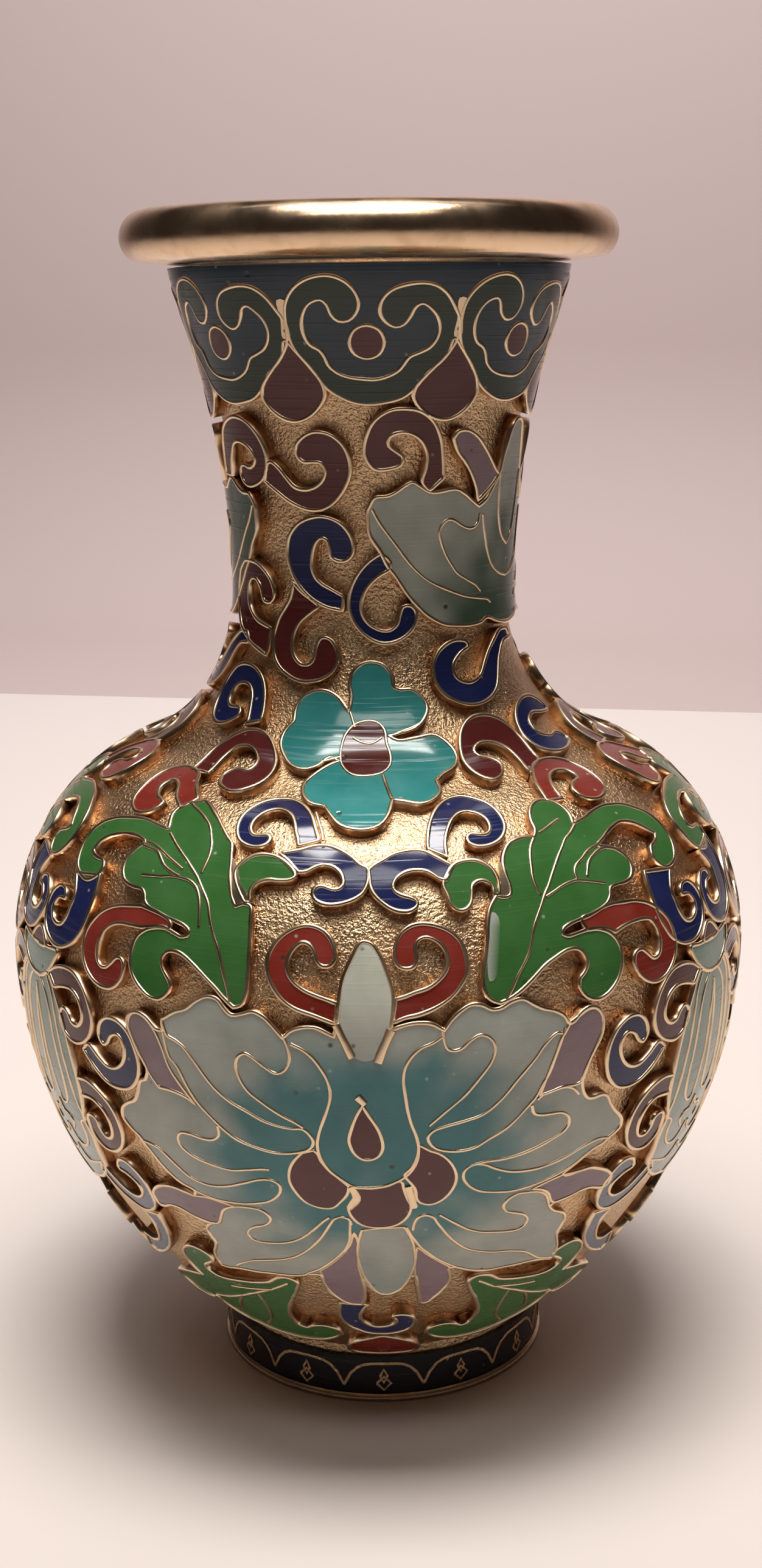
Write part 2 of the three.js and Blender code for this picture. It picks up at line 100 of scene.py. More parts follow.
LOTUS_HEART_BOTTOM = """
-2.3,-2.7c -1,-2.75 0.4,-2.6 1.6,-2.1 1.9,-3 2.2,-4 2.5,-4.9 2.2,-6.1 1.5,-6.9 0.4,-7.3 -0.8,-7.3
-1.8,-6.9 -2.5,-6 -2.7,-5 -2.4,-4.2 -1.9,-3.3
"""
LOTUS_HEART_RIGHT = """
3,1.4c 2.9,0.4 2.5,-0.7 1.9,-1.5 2.4,-2.3 2.8,-3 3,-4.2 3.4,-4.6 4.2,-4.75 5.1,-4.3 5.8,-3.4
6.1,-2.2 5.9,-1.1 5.3,-0.1 4.6,0.5 3.9,0.8c
"""
LOTUS_FOOT_PETAL_LEFT = """
-2.4,-8c -2.8,-9.6 -3.6,-11.1 -4.7,-12.6 -5.9,-13.9c -5.9,-15 -5.8,-16.4 -5.3,-18 -4.4,-19.3
-3.4,-20 -2.2,-20.2c -1.9,-19 -1.8,-17 -2,-15 -2.2,-13 -2.2,-11 -2.1,-9.4
"""
LOTUS_FOOT_PETAL_RIGHT = """
3.2,-10.1c 4,-11.1 5,-12.2 6.4,-13.5c 6.6,-14.6 6.8,-15.8 6.6,-17.2 6,-18.6 5.2,-19.8 4.3,-20.2
3.9,-19 3.7,-17.4 3.5,-15.8 3.2,-14.6c 3.1,-12.6
"""
LOTUS_CENTRE_PETAL = """
-1.7,-7.7c 0,-7.4 2,-7.3c 2.5,-8.6 2.9,-10.2 3.1,-12 2.9,-14 2.4,-16 1.7,-17.3 0.8,-17.9 -0.2,-17.8
-0.9,-16.9 -1.6,-15.2 -2,-13.2 -2.2,-11 -2,-9.2
"""
LOTUS_LILAC_HIGH_LEFT = """
-20.8,9.7 -20.2,10.4 -19.2,10.3 -18.2,9.5 -17.5,8.2 -16.9,6.6 -15.9,5.2 -14.7,3.8c -15.5,4.3 -17,4.6
-18.1,4.6c -19,5.9 -20,7.7
"""
LOTUS_LILAC_LOW_LEFT = """
-12.9,-6.1c -14,-5.9 -15.6,-5.7 -16.9,-5.9c -18.5,-5.6 -20.2,-5.8 -21.5,-6.6 -22,-7.5 -21.8,-8.4
-21.1,-8.5 -20.1,-8.1 -18.9,-8.2 -17.6,-8.7 -16.1,-9c -15.1,-8.8 -14.6,-7.8 -14,-6.8
"""
LOTUS_LILAC_HIGH_RIGHT = """
15,10.1c 15.8,10.5 16.8,10.95 17.6,10.8 18.1,10.1 18,8.8c 17.3,7.5 16.7,6.2 16.3,5.1 15.6,4.9
14.6,4.95 13.4,4.7 12.6,4.6c 12.9,5.6 13.3,6.6 13.8,7.8 14.3,9.1
"""
LOTUS_LILAC_LOW_RIGHT = """
15.8,-3.7c 17.2,-3.8 18.8,-3.9 20.2,-4.5 21.4,-5.4 21.8,-6.2 21.4,-6.9 20.5,-6.8 19.4,-6.35
18.2,-6.35 17,-6.7 15.7,-6.9c 15.3,-6.6 14.8,-5.6 14,-4.9 13,-4.6c 14.4,-4.1
"""
LOTUS_HOOK_LEFT = """
-13,2.2 -13,1.3 -13.6,0.8 -14.6,0.7 -15.8,0.9 -16.6,0.8 -17,0.2 -16.8,-0.5 -15.8,-1.3 -14.2,-1.8
-12.4,-2 -11,-1.7 -9.6,-1.4 -9,-1.4
"""
LOTUS_HOOK_FIELD_LEFT = LOTUS_HOOK_LEFT + "-7,-1 -7,0.4 -8.2,0.4 -9.8,0.55 -11.5,1.1"
LOTUS_BAND_LEFT = """
-21.1,-1.1c -19.4,-1.4 -18,-2.6 -16.6,-3.7 -15,-4.15 -13.2,-3.9 -11.4,-3.2 -10,-2.6 -9,-2.5
-8.4,-2.9 -8.4,-3.8 -9.2,-4.7 -10.6,-5.3 -12.6,-5.7 -15,-5.6 -17,-5 -18.6,-4.1 -19.8,-2.7
"""
LOTUS_BAND_RIGHT = """
19.9,-1.1c 18.8,-0.9 17.4,-1.2 15.8,-1.8 14,-2.3 12.4,-2.4 10.8,-2.2 9.2,-1.6 8.3,-1.1 7.4,-1
6.8,-1.4 6.7,-2.2 7.2,-3.1 8.2,-3.8 9.6,-4.2 11.4,-4.35 13.2,-4.1 15,-3.6 16.6,-2.9 18,-2 19.4,-1.5
"""
LOTUS_WIRES = (
    """-6.6,9.8c -5.6,9.3 -4.8,8.6 -4.1,7.6 -3.8,6.8 -3.7,5.8 -3.9,4.8 -4.3,3.6 -4.7,2.4 -4.9,1.4
    -4.8,0.4 -4.4,-0.5 -3.8,-1.3 -2.8,-2.2 -2.2,-2.6 -1.2,-2.75 -0.2,-2.7 0.8,-2.4 1.8,-1.8
    2.5,-1 2.9,0 3,1 2.8,2.2 2.4,3.4 2.1,4.6 1.9,5.8 1.8,7 2,8.2 2.5,9 3.2,9.6 4,9.9 4.7,10.3""",
    """-7.1,10.2 -6.8,9.4 -6.75,8.4 -7.2,7.6 -7.9,7.35 -8.7,7.8 -9.5,8.4 -10.2,8.75 -10.8,8.4
    -11,7.6 -10.7,6.6 -10,5.6 -9,4.8 -7.6,3.9 -6.5,3.3 -5.9,2.9""",
    """-17.3,10.2c -16.9,9.2 -16.2,8.95 -15.4,8.5 -14.6,7.6 -13.8,6.6 -12.8,5.4 -11.8,4.6 -10.4,3.9
    -9,3.2 -7.6,2.8 -6.6,2.75 -6,2.8 -5.4,2.2 -5.2,1.5 -5.6,0.9 -6.3,0.6 -7.6,0.35 -9,0.45
    -10.4,0.8 -11.6,1.3 -12.8,2.2 -13.6,3 -14.6,4.1 -15.4,5.4 -16.2,6.9 -16.8,7.5 -17.3,9.4""",
    LOTUS_HOOK_LEFT,
    """-15.9,-9.1 -15,-8.7 -14.6,-7.8 -14.2,-7 -13.4,-6.4 -12.6,-6.1 -11.4,-6 -10.4,-6.1 -9.8,-6.6
    -9.7,-7.3 -10.3,-7.9 -11.2,-8.3 -12,-8.9 -12.3,-9.6 -12,-10.2 -11.4,-10.4 -10,-10.3 -8.6,-10
    -7.2,-9.2 -6,-8 -4.9,-6.7 -4.4,-6.2""",
    """-15,-15.2 -14,-14.4 -12.6,-13.6 -11,-13.1 -9.6,-12.7 -8,-11.9 -6.6,-10.6 -5.6,-9.3 -4.8,-7.9
    -4.3,-6.9 -4,-6.4 -3.4,-6.1 -2.8,-6.3 -2.6,-7""",
    "-2.6,-6.4 -2.7,-7.6 -2.8,-9 -3.4,-10.6 -4.6,-12.2 -5.8,-13.5 -7.4,-14.6",
    """15,10.1 14.5,9.3c 13.9,9.5 13,8.9 12,7.7 10.6,6.2 9.4,4.8 8,3.7 6.4,3.2 5,2.9 4.1,2.6 3.7,2
    3.9,1.4 4.4,0.9 5.2,0.6 6.2,0.5 7.4,0.7 8.6,1.4 10,2.2 11.6,3.8 12.3,4.6 12.8,5.6 13.2,6.2
    13.9,7.9 14.6,9.8""",
    """3.8,3.1 5,4.2 6.4,5.4 7.6,6.8 8.6,8.2 8.8,9.2 8.4,9.9 7.6,10.2 6.8,9.8 6,9.2 5.2,9.3 4.9,10
    4.8,10.8""",
    """12,3.9c 12.2,3.1 12.9,2.8 13.8,2.75 14.8,2.6 15.4,2.1 15.5,1.4 15,0.8 14,0.3 12.8,-0.2
    11.4,-0.6 9.8,-0.8 8.4,-0.8 7.6,-0.9""",
    "12.4,4.3 12.8,4.6 13.8,4.8 14.8,4.9 15.6,4.6 16.1,4",
    """15.9,-8 15.3,-7.4 14.9,-6.4 14.4,-5.5 13.6,-5 12.4,-4.85 11.8,-4.8 11,-5.2 10.6,-6 10.9,-6.7
    11.8,-7.1 12.8,-7.6 13.3,-8.3 13.2,-9 12.7,-9.4 11.6,-9.45 10,-9.2 8.8,-8.9 7.6,-8.3 6.4,-7.3
    5.4,-6.5 4.9,-6.1""",
    """18.3,-15.9 17,-15.4 16,-14.9 14.8,-13.8 13.8,-13.1 12.2,-12.5 10.6,-12.2 9,-11.7 7.8,-11
    6.6,-9.8 5.6,-8.4 4.8,-7 4.5,-6.4 3.8,-6 3.2,-6.2 2.8,-7 2.7,-7.8""",
    "2.1,-7.4 2.8,-9 3.4,-10.1 4.4,-11.3 5.8,-12.7 7.2,-13.8 8.8,-14.6 10.4,-15.1",
)
LOTUS_HEAVY_WIRES = (
    "-3.2,11.4 -2.6,10.2 -2,8.9",
    "0.9,11 0.3,9.6 -0.1,8.5",
    "2.2,-2.6 2.45,-3.8 2.7,-5",
    "-2.4,-2.6 -2,-4 -2.6,-5",
    "-1.7,5.7 -1.1,5.1",
)

LEAF_LEFT_EDGE = """
-11.2,12.2c -10.6,12.4 -10.2,13.2 -10.1,14.6 -10.15,16 -10.2,17.5 -10.4,19 -10.6,20.2 -11.3,20.4
-11.9,20.1c -12.5,21 -13,22.4 -13.4,24 -13.7,25 -14,25.9 -14.8,26.6 -15.8,27.6 -16.8,28.6 -18,29.6
-19,30.4 -19.8,30.75 -20.6,30.5 -21.4,30.1c -22,29.8 -22.5,29 -22.6,28.2 -22.3,27.4 -21.8,26.4c
-23,26.6 -24.6,26.8 -26.4,26.8 -28.2,26.5 -29.8,26 -31.2,25.2 -32,24.2 -32.3,23 -32,21.6 -31.2,20.4
-30,19.8 -28.9,19.6 -28,20 -27.4,20.6c -27.4,21.3 -27.8,21.7 -28.8,21.8 -29.6,22 -30,22.3c
-29.8,23.2 -29,24 -28,24.5 -26.6,24.9 -25.2,25 -24.2,24.8 -23.6,24.5c -24.2,23.9 -24.7,23 -24.8,22.2
-24.6,21.4 -24,20.7 -23.2,20.4 -22.2,20.3 -21.6,20.3 -21.1,19.9 -20.8,19.3 -20.3,19 -19.2,18.7
-18,18.4 -17,18.2 -16.2,18 -15.7,17.6 -15.8,17.2 -16.4,17.05c -17.2,17.3 -18,17.5 -19,17.4 -20,17
-20.7,16.3 -21,15.3 -20.9,14.2 -20.4,13.2 -19.6,12.4 -18.6,11.95 -17.6,12 -16.9,12.6 -16.7,13.2
-17,13.7 -17.4,14.1 -17.8,14.7 -17.8,15.2 -17.4,15.7 -16.8,15.85 -16,15.7 -15,15.2 -14,14.5 -13,13.7
-12,12.8
"""
LEAF_LEFT_VEINS = (
    """-21.3,26 -20.2,25.2 -19,24.4 -18,23.7 -17,22.9 -16,22 -15.2,21 -14.5,20 -14,18.8 -13.4,17.6
    -12.8,16.4 -12.3,15.2 -11.9,14 -11.5,12.6""",
    """-21.4,30.1 -20.6,29.7 -19.6,29.2 -18.4,28.5 -17.4,27.7 -16.6,26.6 -16,25.4 -15.8,24
    -15.9,22.7""",
    "-23.6,24.6 -22.4,24.5 -21.4,24.2 -20,23.6 -18.8,23.1 -18,22.7",
    "-23.6,24.2 -22.4,24.05 -21.6,23.9 -20.8,23.3 -20,22.7 -19,22.3 -18,22",
    """-22.1,21.5 -21,21.6 -20,21.7 -19,21.9 -18,21.9 -17,21.8 -16.2,21.4 -15.6,20.7 -15.2,19.8
    -15,18.8 -14.9,18.1""",
)
LEAF_LEFT_ISLAND = """
-13.5,24.6 -13,23.3 -12.7,22.1 -12.1,20.6 -11.5,20.3 -11,20.7 -11.2,21.3 -12,22.2 -12.5,23.4
"""
LEAF_RIGHT_EDGE = """
9.3,12.5c 8.5,12.9 8.1,13.6 8.2,14.8 8.4,16 8.7,17.4 9,18.8 9.4,20 10.1,20.9c 10.7,20.7 11.3,20.8
11.5,21.6 11.4,22.8 11.5,24 12,25 12.8,25.8 13.8,26.1 14.6,26.15 15.5,26c 16,26.8 16.1,27.8
16.4,28.8 17,29.7 17.8,30.3 18.6,30.5 19.6,30.2 20.4,29.5 20.8,28.5 20.8,27.4 20.5,26.7c 22,27
23.6,27.5 25.4,27.8 27,27.7 28.6,27.3 30,26.5 31.2,25.4 32,24 32.2,22.6 31.8,21.4 31,20.5 30,20.1
29,20.1 28.2,20.7 27.9,21.4c 28.4,22.2 29.2,22.5 30,22.9 30.2,23.3c 29.4,24 28.6,24.7 27.6,25.3
26.4,25.6 25.2,25.4 24,25 22.8,24.4 21.8,24c 22.8,23.5 23.6,23.2 24.3,22.5 24.6,21.7 24.4,20.8
23.8,20.2 22.8,20 22,20.05 21.2,19.9 20.9,19.3 20.4,18.8 19.4,18.4 18.2,18.1 17,17.9 16,17.7
15.4,17.4 15.3,17 15.8,16.8c 16.8,16.9 17.8,17 18.8,16.8 19.8,16.3 20.4,15.5 20.6,14.6 20.3,13.4
19.6,12.4 18.6,11.7 17.6,11.5 16.6,11.9 16.1,12.7 16.2,13.4c 16.8,13.9 17.1,14.5 16.9,15.2 16.3,15.7
15.4,15.75 14.4,15.4 13.2,14.8 12,13.9 11,13.2 10,12.7
"""
LEAF_RIGHT_VEINS = (
    """20.6,26.5 19.6,25.8 18.6,25.2 18,24.6 17.2,23.8 16.4,22.9 15.6,21.9 15,21.1 14.5,20.5 14,19.8
    13.4,18.9 12.8,17.9 12.4,16.9 12,16 11.4,15.1 10.8,14.3 10.4,13.6 9.8,12.7""",
    "15.4,25.9 14.8,25.2 14.3,24.2 14,23 13.8,22 13.9,21 14.1,20.6",
    "16.2,26.4 17,26.7 18,27.1 18.8,27.4 19.2,27.5",
    "18,21.2 18.1,22 18.6,22.6 19.4,23 20.2,23.5 21,23.8 22,24",
    "19.2,21.4 20,22.6 21,23.2 22,23.5 22.8,23.5",
    "14.6,20.3 15.4,20.6 16.2,20.9 17,21.1 18,21.2 19,21 20,20.7 20.8,20.4",
)
LEAF_RIGHT_ISLAND = "10.2,20.9 10.8,20.8 11.3,21 11.4,22.5 11.3,23.9 10.9,23.6 10.8,22.4 10.5,21.4"
LEAF_RIGHT_WORN = "8.6,14.2 9.1,14.4 9.5,16 9.8,17.6 9.9,19.2 9.5,19.6 9.1,18.6 8.8,17 8.5,15.4"

SWIRL_LEFT = """
-11.2,20.5c -11.9,21.4 -12.5,22.4 -12.7,23.2 -12.4,24 -11.6,24.8 -10.6,25.15 -9.6,25.1 -8.8,24.8
-7.8,24.1 -7.3,23.5 -7.2,23.1 -7.6,22.8 -8.6,22.7 -9.4,22.75 -10.2,22.5 -10.8,21.9 -10.9,21.2
-10.7,20.6c
"""
SWIRL_RIGHT = """
6,23 6.9,24.1 8,24.45 9.2,24.3 10.2,23.5 10.55,22.4 10.4,21c 9.95,21 9.95,21.8 9.5,22.3 8.8,22.4
8.2,22 8,21.2 7.8,20.5 7.3,20 6.7,20 6.2,20.5 6,21.3 5.7,22.3
"""
CENTRE_LEFT = """
-9,25.3c -8,25.6 -7,25.9 -6,26.3 -5,26.45 -4,26.3 -3,25.8 -2.1,25.1 -1.4,24.4 -0.8,24.1c -0.75,23
-1.2,21.8 -1.8,21.3 -2.6,20.95 -3.6,20.75 -4.4,20.8 -5.1,21.1 -5.4,21.6 -5.3,22.1 -4.9,22.35
-4.4,22.3 -3.8,22.1 -3.2,22.15 -2.85,22.6 -2.95,23.2 -3.3,23.8 -4,24.3 -4.8,24.4 -5.6,24.1 -6.2,23.7
-6.9,23.55c -7.4,24 -8,24.6
"""
CENTRE_RIGHT = """
-0.7,23.9c -0.2,24.4 0.6,24.9 1.4,25.4 2.4,25.7 3.4,25.85 4.4,25.7 5.2,25.2 6,24.6 6.8,24c 6.4,23.4
6,22.7c 5.4,22.9 4.9,23.3 4.2,23.7 3.2,23.8 2.4,23.6 1.7,23.1 1.4,22.5 1.5,22 2,21.6 2.8,21.3 3.3,21
3.3,20.6 2.8,20.2 2,20.15 1.2,20.4 0.4,21 -0.2,21.7 -0.5,22.4 -0.6,23.2
"""
HOOK_LEFT = """
-5.5,27c -5.8,27.8 -6.2,28.8 -6.7,30 -7.4,31.1 -8.4,32 -9.6,32.5 -11,32.5 -12.4,32 -13.4,31.1
-14.1,29.9 -14.3,28.6 -14,27.3 -13.3,26.4 -12.2,25.9 -11.2,25.9 -10.5,26.3 -10.3,26.9 -10.7,27.3
-11.5,27.2 -12.2,27.2 -12.7,27.8 -12.8,28.7 -12.5,29.6 -11.8,30.4 -10.8,30.85 -9.8,30.7 -8.9,30
-8.3,29 -7.9,27.9 -7.5,26.8 -7.4,26.3c
"""
HOOK_LEFT_WIRE = "-6.4,30.6 -5.9,29.4 -5.4,28.2 -5.1,27"
HOOK_RIGHT = """
4.8,25.9c 4.9,26.8 5.1,27.8 5.4,28.8 5.9,30 6.6,31.1 7.6,32.1 8.8,32.7 10,32.7 11.2,32.1 12.2,31.2
12.9,30 13.1,28.7 12.9,27.5 12.3,26.6 11.4,26 10.3,25.75 9.4,25.85 8.8,26.3 8.8,26.9 9.3,27.3
10,27.2 10.8,27.1 11.3,27.5 11.5,28.3 11.3,29.1 10.7,29.8 9.8,30.2 8.8,30.1 7.9,29.4 7.3,28.5
6.8,27.4 6.5,26.3 6.4,25c
"""
BUD_SCROLL_LEFT = """
-3.1,13c -3.9,13.3 -4.8,13.6 -5.8,14 -6.6,14.6 -7,15.4 -7,16.3 -6.6,17.1 -6,17.6 -5.4,17.5 -4.9,16.9
-4.7,16.2 -4.2,15.8 -3.6,15.9 -3.3,16.5 -3.4,17.3 -3.8,18.1 -4.6,18.7 -5.5,18.95 -6.4,18.8 -7.4,18.2
-8.2,17.3 -8.6,16.2 -8.5,15 -8,14 -7.2,13.1 -6.2,12.5 -5,12.1 -3.8,11.7 -3.2,11.5c
"""
BUD_SCROLL_RIGHT = """
1.3,13.3c 2,13.5 2.8,13.8 3.8,14.1 4.6,14.6 5.2,15.3 5.4,16.1 5.2,17 4.6,17.7 3.8,18 3.1,17.7
2.9,17.1 3,16.4 2.8,15.8 2.2,15.6 1.6,15.8 1.3,16.5 1.4,17.4 1.8,18.3 2.6,18.9 3.6,19.1 4.8,18.9
5.8,18.3 6.6,17.4 6.9,16.2 6.8,15 6.2,14 5.4,13.2 4.2,12.5 3,12.1 2,11.9 1,11.5c
"""
SIDE_SCROLL_LEFT = """
-20.9,18.9c -22,18.7 -23.2,18.5 -24.4,18.1 -25.6,17.3 -26.4,16.2 -26.8,15 -26.6,13.8 -26,12.8 -25,12
-23.9,11.7 -22.8,11.8 -22,12.4 -21.6,13.2 -21.6,14 -22,14.4 -22.5,14.3 -23,13.8 -23.6,13.3
-24.2,13.3 -24.7,13.8 -24.9,14.6 -24.8,15.4 -24.4,16.2 -23.7,16.8 -22.8,17.1 -21.6,17.15 -20.4,17.2c
-19.4,17.4 -18.4,17.6 -17.6,17.5c -17.6,18 -18.6,18.5
"""
SIDE_SCROLL_RIGHT = """
17.3,17.9 18.6,18.2 19.8,18.5 20.8,18.6 22,18.5 23.4,18.3 24.8,17.8 26,16.9 26.8,15.8 27.1,14.6
26.9,13.4 26.2,12.4 25.2,11.7 24,11.5 22.8,11.9 22,12.7 21.8,13.6 22.1,14.3 22.8,14.4 23.4,13.9
24,13.4 24.6,13.5 25,14.1 25.2,15 25,15.8 24.6,16.5 23.8,16.7 22.6,16.7 21.4,16.6 20.3,16.3c
19.6,16.7 18.8,16.9 17.6,17c
"""
# Cells between a lotus and the next side flower. Their twins on the other side are mirrored.
NAVY_CURL = """
-27.3,20.4c -27,19 -27,17.4 -27.3,15.8 -28.2,14.4 -29.6,13.6 -31.2,13.4 -32.6,13.9 -33.6,14.9
-34,16.2 -33.6,17.5 -32.6,18.2 -31.4,18 -31.2,17.4 -32.2,17.2 -32.8,16.4 -32.4,15.5 -31.5,15.1
-30.6,15.3 -30.1,16 -29.9,17 -29.8,18 -30.6,19.4 -30.9,19.8c
"""
MAROON_HIGH = """
-31.6,11c -30.6,11.6 -29.2,12 -27.6,11.9 -26.3,11.1 -25.4,9.9 -25.1,8.6 -25.5,7.3 -26.5,6.4 -27.9,6
-29.1,6.4 -29.8,7.3 -29.7,8.2 -29.1,8.6 -28.5,8.3 -28,7.7 -27.2,7.6 -26.5,8.2 -26.4,9.1 -26.9,10
-27.9,10.5 -29.2,10.4 -30.6,10c
"""
MAROON_LOW = """
-28.5,2.6c -27,2.8 -25.6,2.4 -24.4,1.4 -23.7,0 -23.6,-1.4 -24.2,-2.8 -25.4,-3.7 -26.8,-3.9 -28,-3.2
-28.5,-2.1 -28.3,-1 -27.6,-0.7 -27,-1 -26.8,-1.8 -26.2,-2.4 -25.3,-2.2 -24.9,-1.3 -25,-0.2 -25.6,0.7
-26.6,1.2 -28.4,1c
"""
NAVY_HEEL = """
-24.3,7.6 -24.1,8.6 -23.3,9.3 -22.2,9.4 -21.1,8.8 -20.3,7.6 -20,6.2 -20.3,4.8 -21.2,3.8 -22.4,3.45
-23.8,3.6 -25.2,4.4 -26.6,5.8c -25.8,6.4 -24.6,5.6 -23.6,5.1 -22.6,5.2 -21.8,5.8 -21.4,6.8 -21.5,7.7
-22.1,8.2 -22.8,7.9 -23.3,7.2 -23.8,6.95
"""
PALE_HOOK = """
-26.1,-5.6c -25.6,-4.8 -24.6,-4.5 -23.6,-5 -22.8,-6.2 -22.4,-7.6 -22.6,-9 -23.4,-10 -24.6,-10.5
-26,-10.4 -27.4,-9.8 -28.8,-8.8 -30,-7.6c -29.3,-6.7 -28.2,-7.5 -27,-8.4 -25.8,-8.9 -24.6,-8.8
-23.8,-8 -23.8,-7 -24.4,-6.4 -25.2,-6 -25.9,-5.9
"""
PALE_SWEEP = """
-23,-10.5c -22.9,-12 -23.1,-13.6 -24,-15.4 -25.4,-17 -27.4,-18.6 -30,-20c -30.4,-19 -29.6,-17.4
-28.8,-16c -27.6,-16.4 -26.4,-16 -25.4,-15 -24.8,-13.6 -24.7,-12 -25.2,-10.8c
"""
# The side flower, from its own axis.
FLOWER_CREST = """
-3.7,13 -2,12.9 0,12.85 2,12.9 3.7,13 3.3,12 2.4,11 1.2,10.4 0,10.25 -1.2,10.4 -2.4,11 -3.3,12
"""
FLOWER_CREST_HEART = "-1.5,12.95 -0.9,13.8 0,14.2 0.9,13.8 1.5,12.95"
FLOWER_BODY = """
0,10.2 1.2,10.3 2.4,10.8 3.3,10.1 4,8.9 4.8,7 5.3,5 5.6,3 5.6,1 5.3,-0.6 4.9,-1.6 5.2,-2.6 5.4,-3.8
5.3,-5 5.4,-6.8 4.5,-8 3.3,-8.9 1.2,-9.7 0,-10.1 -1.2,-9.7 -3.3,-8.9 -4.5,-8 -5.4,-6.8 -5.3,-5
-5.4,-3.8 -5.2,-2.6 -4.9,-1.6 -5.3,-0.6 -5.6,1 -5.6,3 -5.3,5 -4.8,7 -4,8.9 -3.3,10.1 -2.4,10.8
-1.2,10.3
"""
FLOWER_HALF_WIRES = (
    "2.2,10.6 3,9.4 3.3,8 3.6,6 3.9,4 4.2,2 4.5,0 5,-1.4",
    """0.9,10.1 1.7,9.2 2.2,8 2.5,6 2.7,4 2.9,2 2.8,0.4 2.5,-0.6 1.8,-1.2 1.1,-1 0.8,0 0.6,2 0.4,4
    0.4,6 0.2,8 0,9.4""",
    "5,-1.8 4,-2.4 4.1,-3.4 3.8,-4.6 2.9,-5.4 1.9,-5.6 1,-5.2 0.2,-4",
    "5.2,-6.4 4.2,-6.8 3,-7.3 1.8,-7.6 0.8,-7.2 0,-6.4",
    "0,-1.4 0.6,-2.4 1.6,-2.5 2,-3.2 1.5,-4",
)
LOWER_LEAF = """
-8.8,-16.6 -9.6,-15.9 -10.6,-16.1 -12,-17.3 -13.6,-17.9 -15.6,-18.4 -17.4,-18.7 -19,-18.6
-19.8,-17.9 -19.8,-17.1 -19,-16.4 -18.1,-15.6 -18.2,-14.8 -19,-14.2 -20.2,-14 -21.4,-14.7 -22.3,-16
-22.5,-17.4 -22.2,-19 -21.8,-19.9c -23.4,-20.4 -25.4,-21.1 -27.6,-22.4 -28.2,-24 -27.4,-25.8
-25.6,-26.6 -23.8,-26.4 -22.6,-25.4c -22.2,-27.4 -20.6,-29.4 -18.4,-31 -15.6,-32.4 -12.4,-33
-9.4,-32.6 -7,-31.2 -5.6,-29.2 -6,-27.6 -7.4,-26.8 -8.8,-27.2 -10,-28.2 -11.2,-27.6 -11.5,-26.2
-11.5,-24.6 -11,-22.6 -10.2,-20.6 -9.2,-18.4
"""
LOWER_LEAF_VEINS = (
    "-9.8,-17 -12,-18.8 -14.4,-20.4 -17,-22.2 -19.6,-23.8 -22.2,-24.8",
    "-14.4,-20.4 -14.2,-23 -14.4,-25.6 -15.2,-28 -16.6,-30",
    "-17,-22.2 -18.4,-24.6 -19.2,-27",
    "-12,-18.8 -14.8,-19.6 -17.6,-20.2",
)
FOOT_CURL = """
-4.6,-20c -4.9,-22 -4.9,-24 -4.4,-25.8 -3.4,-27.2 -2,-28.2 0,-28.6 2,-28.2 3.4,-27 3.8,-25.4 3.6,-24
2.8,-23.1 1.8,-22.9 1.2,-23.4 1.6,-24.4 1.4,-25.4 0.4,-26.1 -0.8,-26.2 -1.8,-25.6 -2.5,-24.4
-2.6,-23 -2.2,-21.6 -1.6,-20.2c
"""
FOOT_TONGUE = """
0,-29.6c 1.6,-30.6 3.4,-32 5,-34 5.4,-36 4.6,-37.6 2.6,-38.2 0,-38.4 -2.6,-38.2 -4.6,-37.6 -5.4,-36
-5,-34 -3.4,-32 -1.6,-30.6
"""

# The shoulder and the neck, on the neck's drawing.
SHOULDER_FLOWER = """
-1.7,-10.2 -1.9,-9.3 -1.6,-8.2 -0.8,-7.6 0,-7.5 0.8,-7.8 1.3,-8.6 1.4,-9.5c 1.9,-9.7 2.8,-9.7
3.5,-10.3 3.7,-11.2 3.3,-12 2.6,-12.6 1.6,-12.9 0.9,-13.1c 1.4,-13.4 2.6,-13.3 3.8,-13.2 4.5,-13.9
4.7,-14.8 4.3,-15.6 3.5,-16.1 3,-16.6c 3,-17.4 2.5,-18 1.9,-18.2 1.2,-18 0.7,-17.9c 0.5,-18.8
0.1,-19.4 -0.6,-19.6 -1.4,-19.4 -1.9,-18.8 -2.2,-18.3c -2.9,-18.1 -3.4,-17.4 -3.5,-16.6 -3.1,-15.8
-2.4,-15.1 -2,-14.9c -2.6,-14.6 -3.2,-15.3 -3.9,-15.6 -4.7,-15.4 -5.5,-14.6 -6,-13.7 -6,-12.9
-5.6,-12.2c -5.7,-11.4 -5.4,-10.4 -4.6,-9.9 -3.6,-9.8 -2.8,-10.2 -2.2,-10.8 -1.8,-11.3c
"""
SHOULDER_HEART = """
-1.9,-13 -1.4,-12.3 -0.7,-12 0.1,-12.1 0.6,-12.7 0.7,-13.6 0.9,-14.4 0.8,-15.2 0.3,-15.8 -0.4,-16
-1.2,-15.9 -1.8,-15.2 -2,-14.3 -2,-13.5
"""
SHOULDER_WIRES = (
    "0.9,-13.1 2.8,-12.4 3.4,-12",
    "-1.4,-13.2 -0.9,-13.5 -0.2,-13.6 0.4,-13.2",
    "0.4,-16 0.55,-16.9 0.7,-17.8",
    "-2,-14.6 -2.5,-14.8 -3,-15",
    "-1.7,-11.3 -1.5,-11.8 -1.3,-12.4",
)
SHOULDER_MAROON_LEFT = """
-10.4,-16.8c -10.4,-15 -9.8,-13.9 -8.8,-13.2 -7.6,-13.2 -6.6,-13.8 -5.8,-15 -5.6,-16.2 -6,-17.2
-6.9,-17.8 -7.9,-17.4 -8.2,-16.6 -7.7,-16.1 -7,-16.1 -6.8,-15.4 -7.2,-14.7 -8,-14.3 -8.8,-14.5
-9.2,-15.4 -9.2,-16.8c
"""
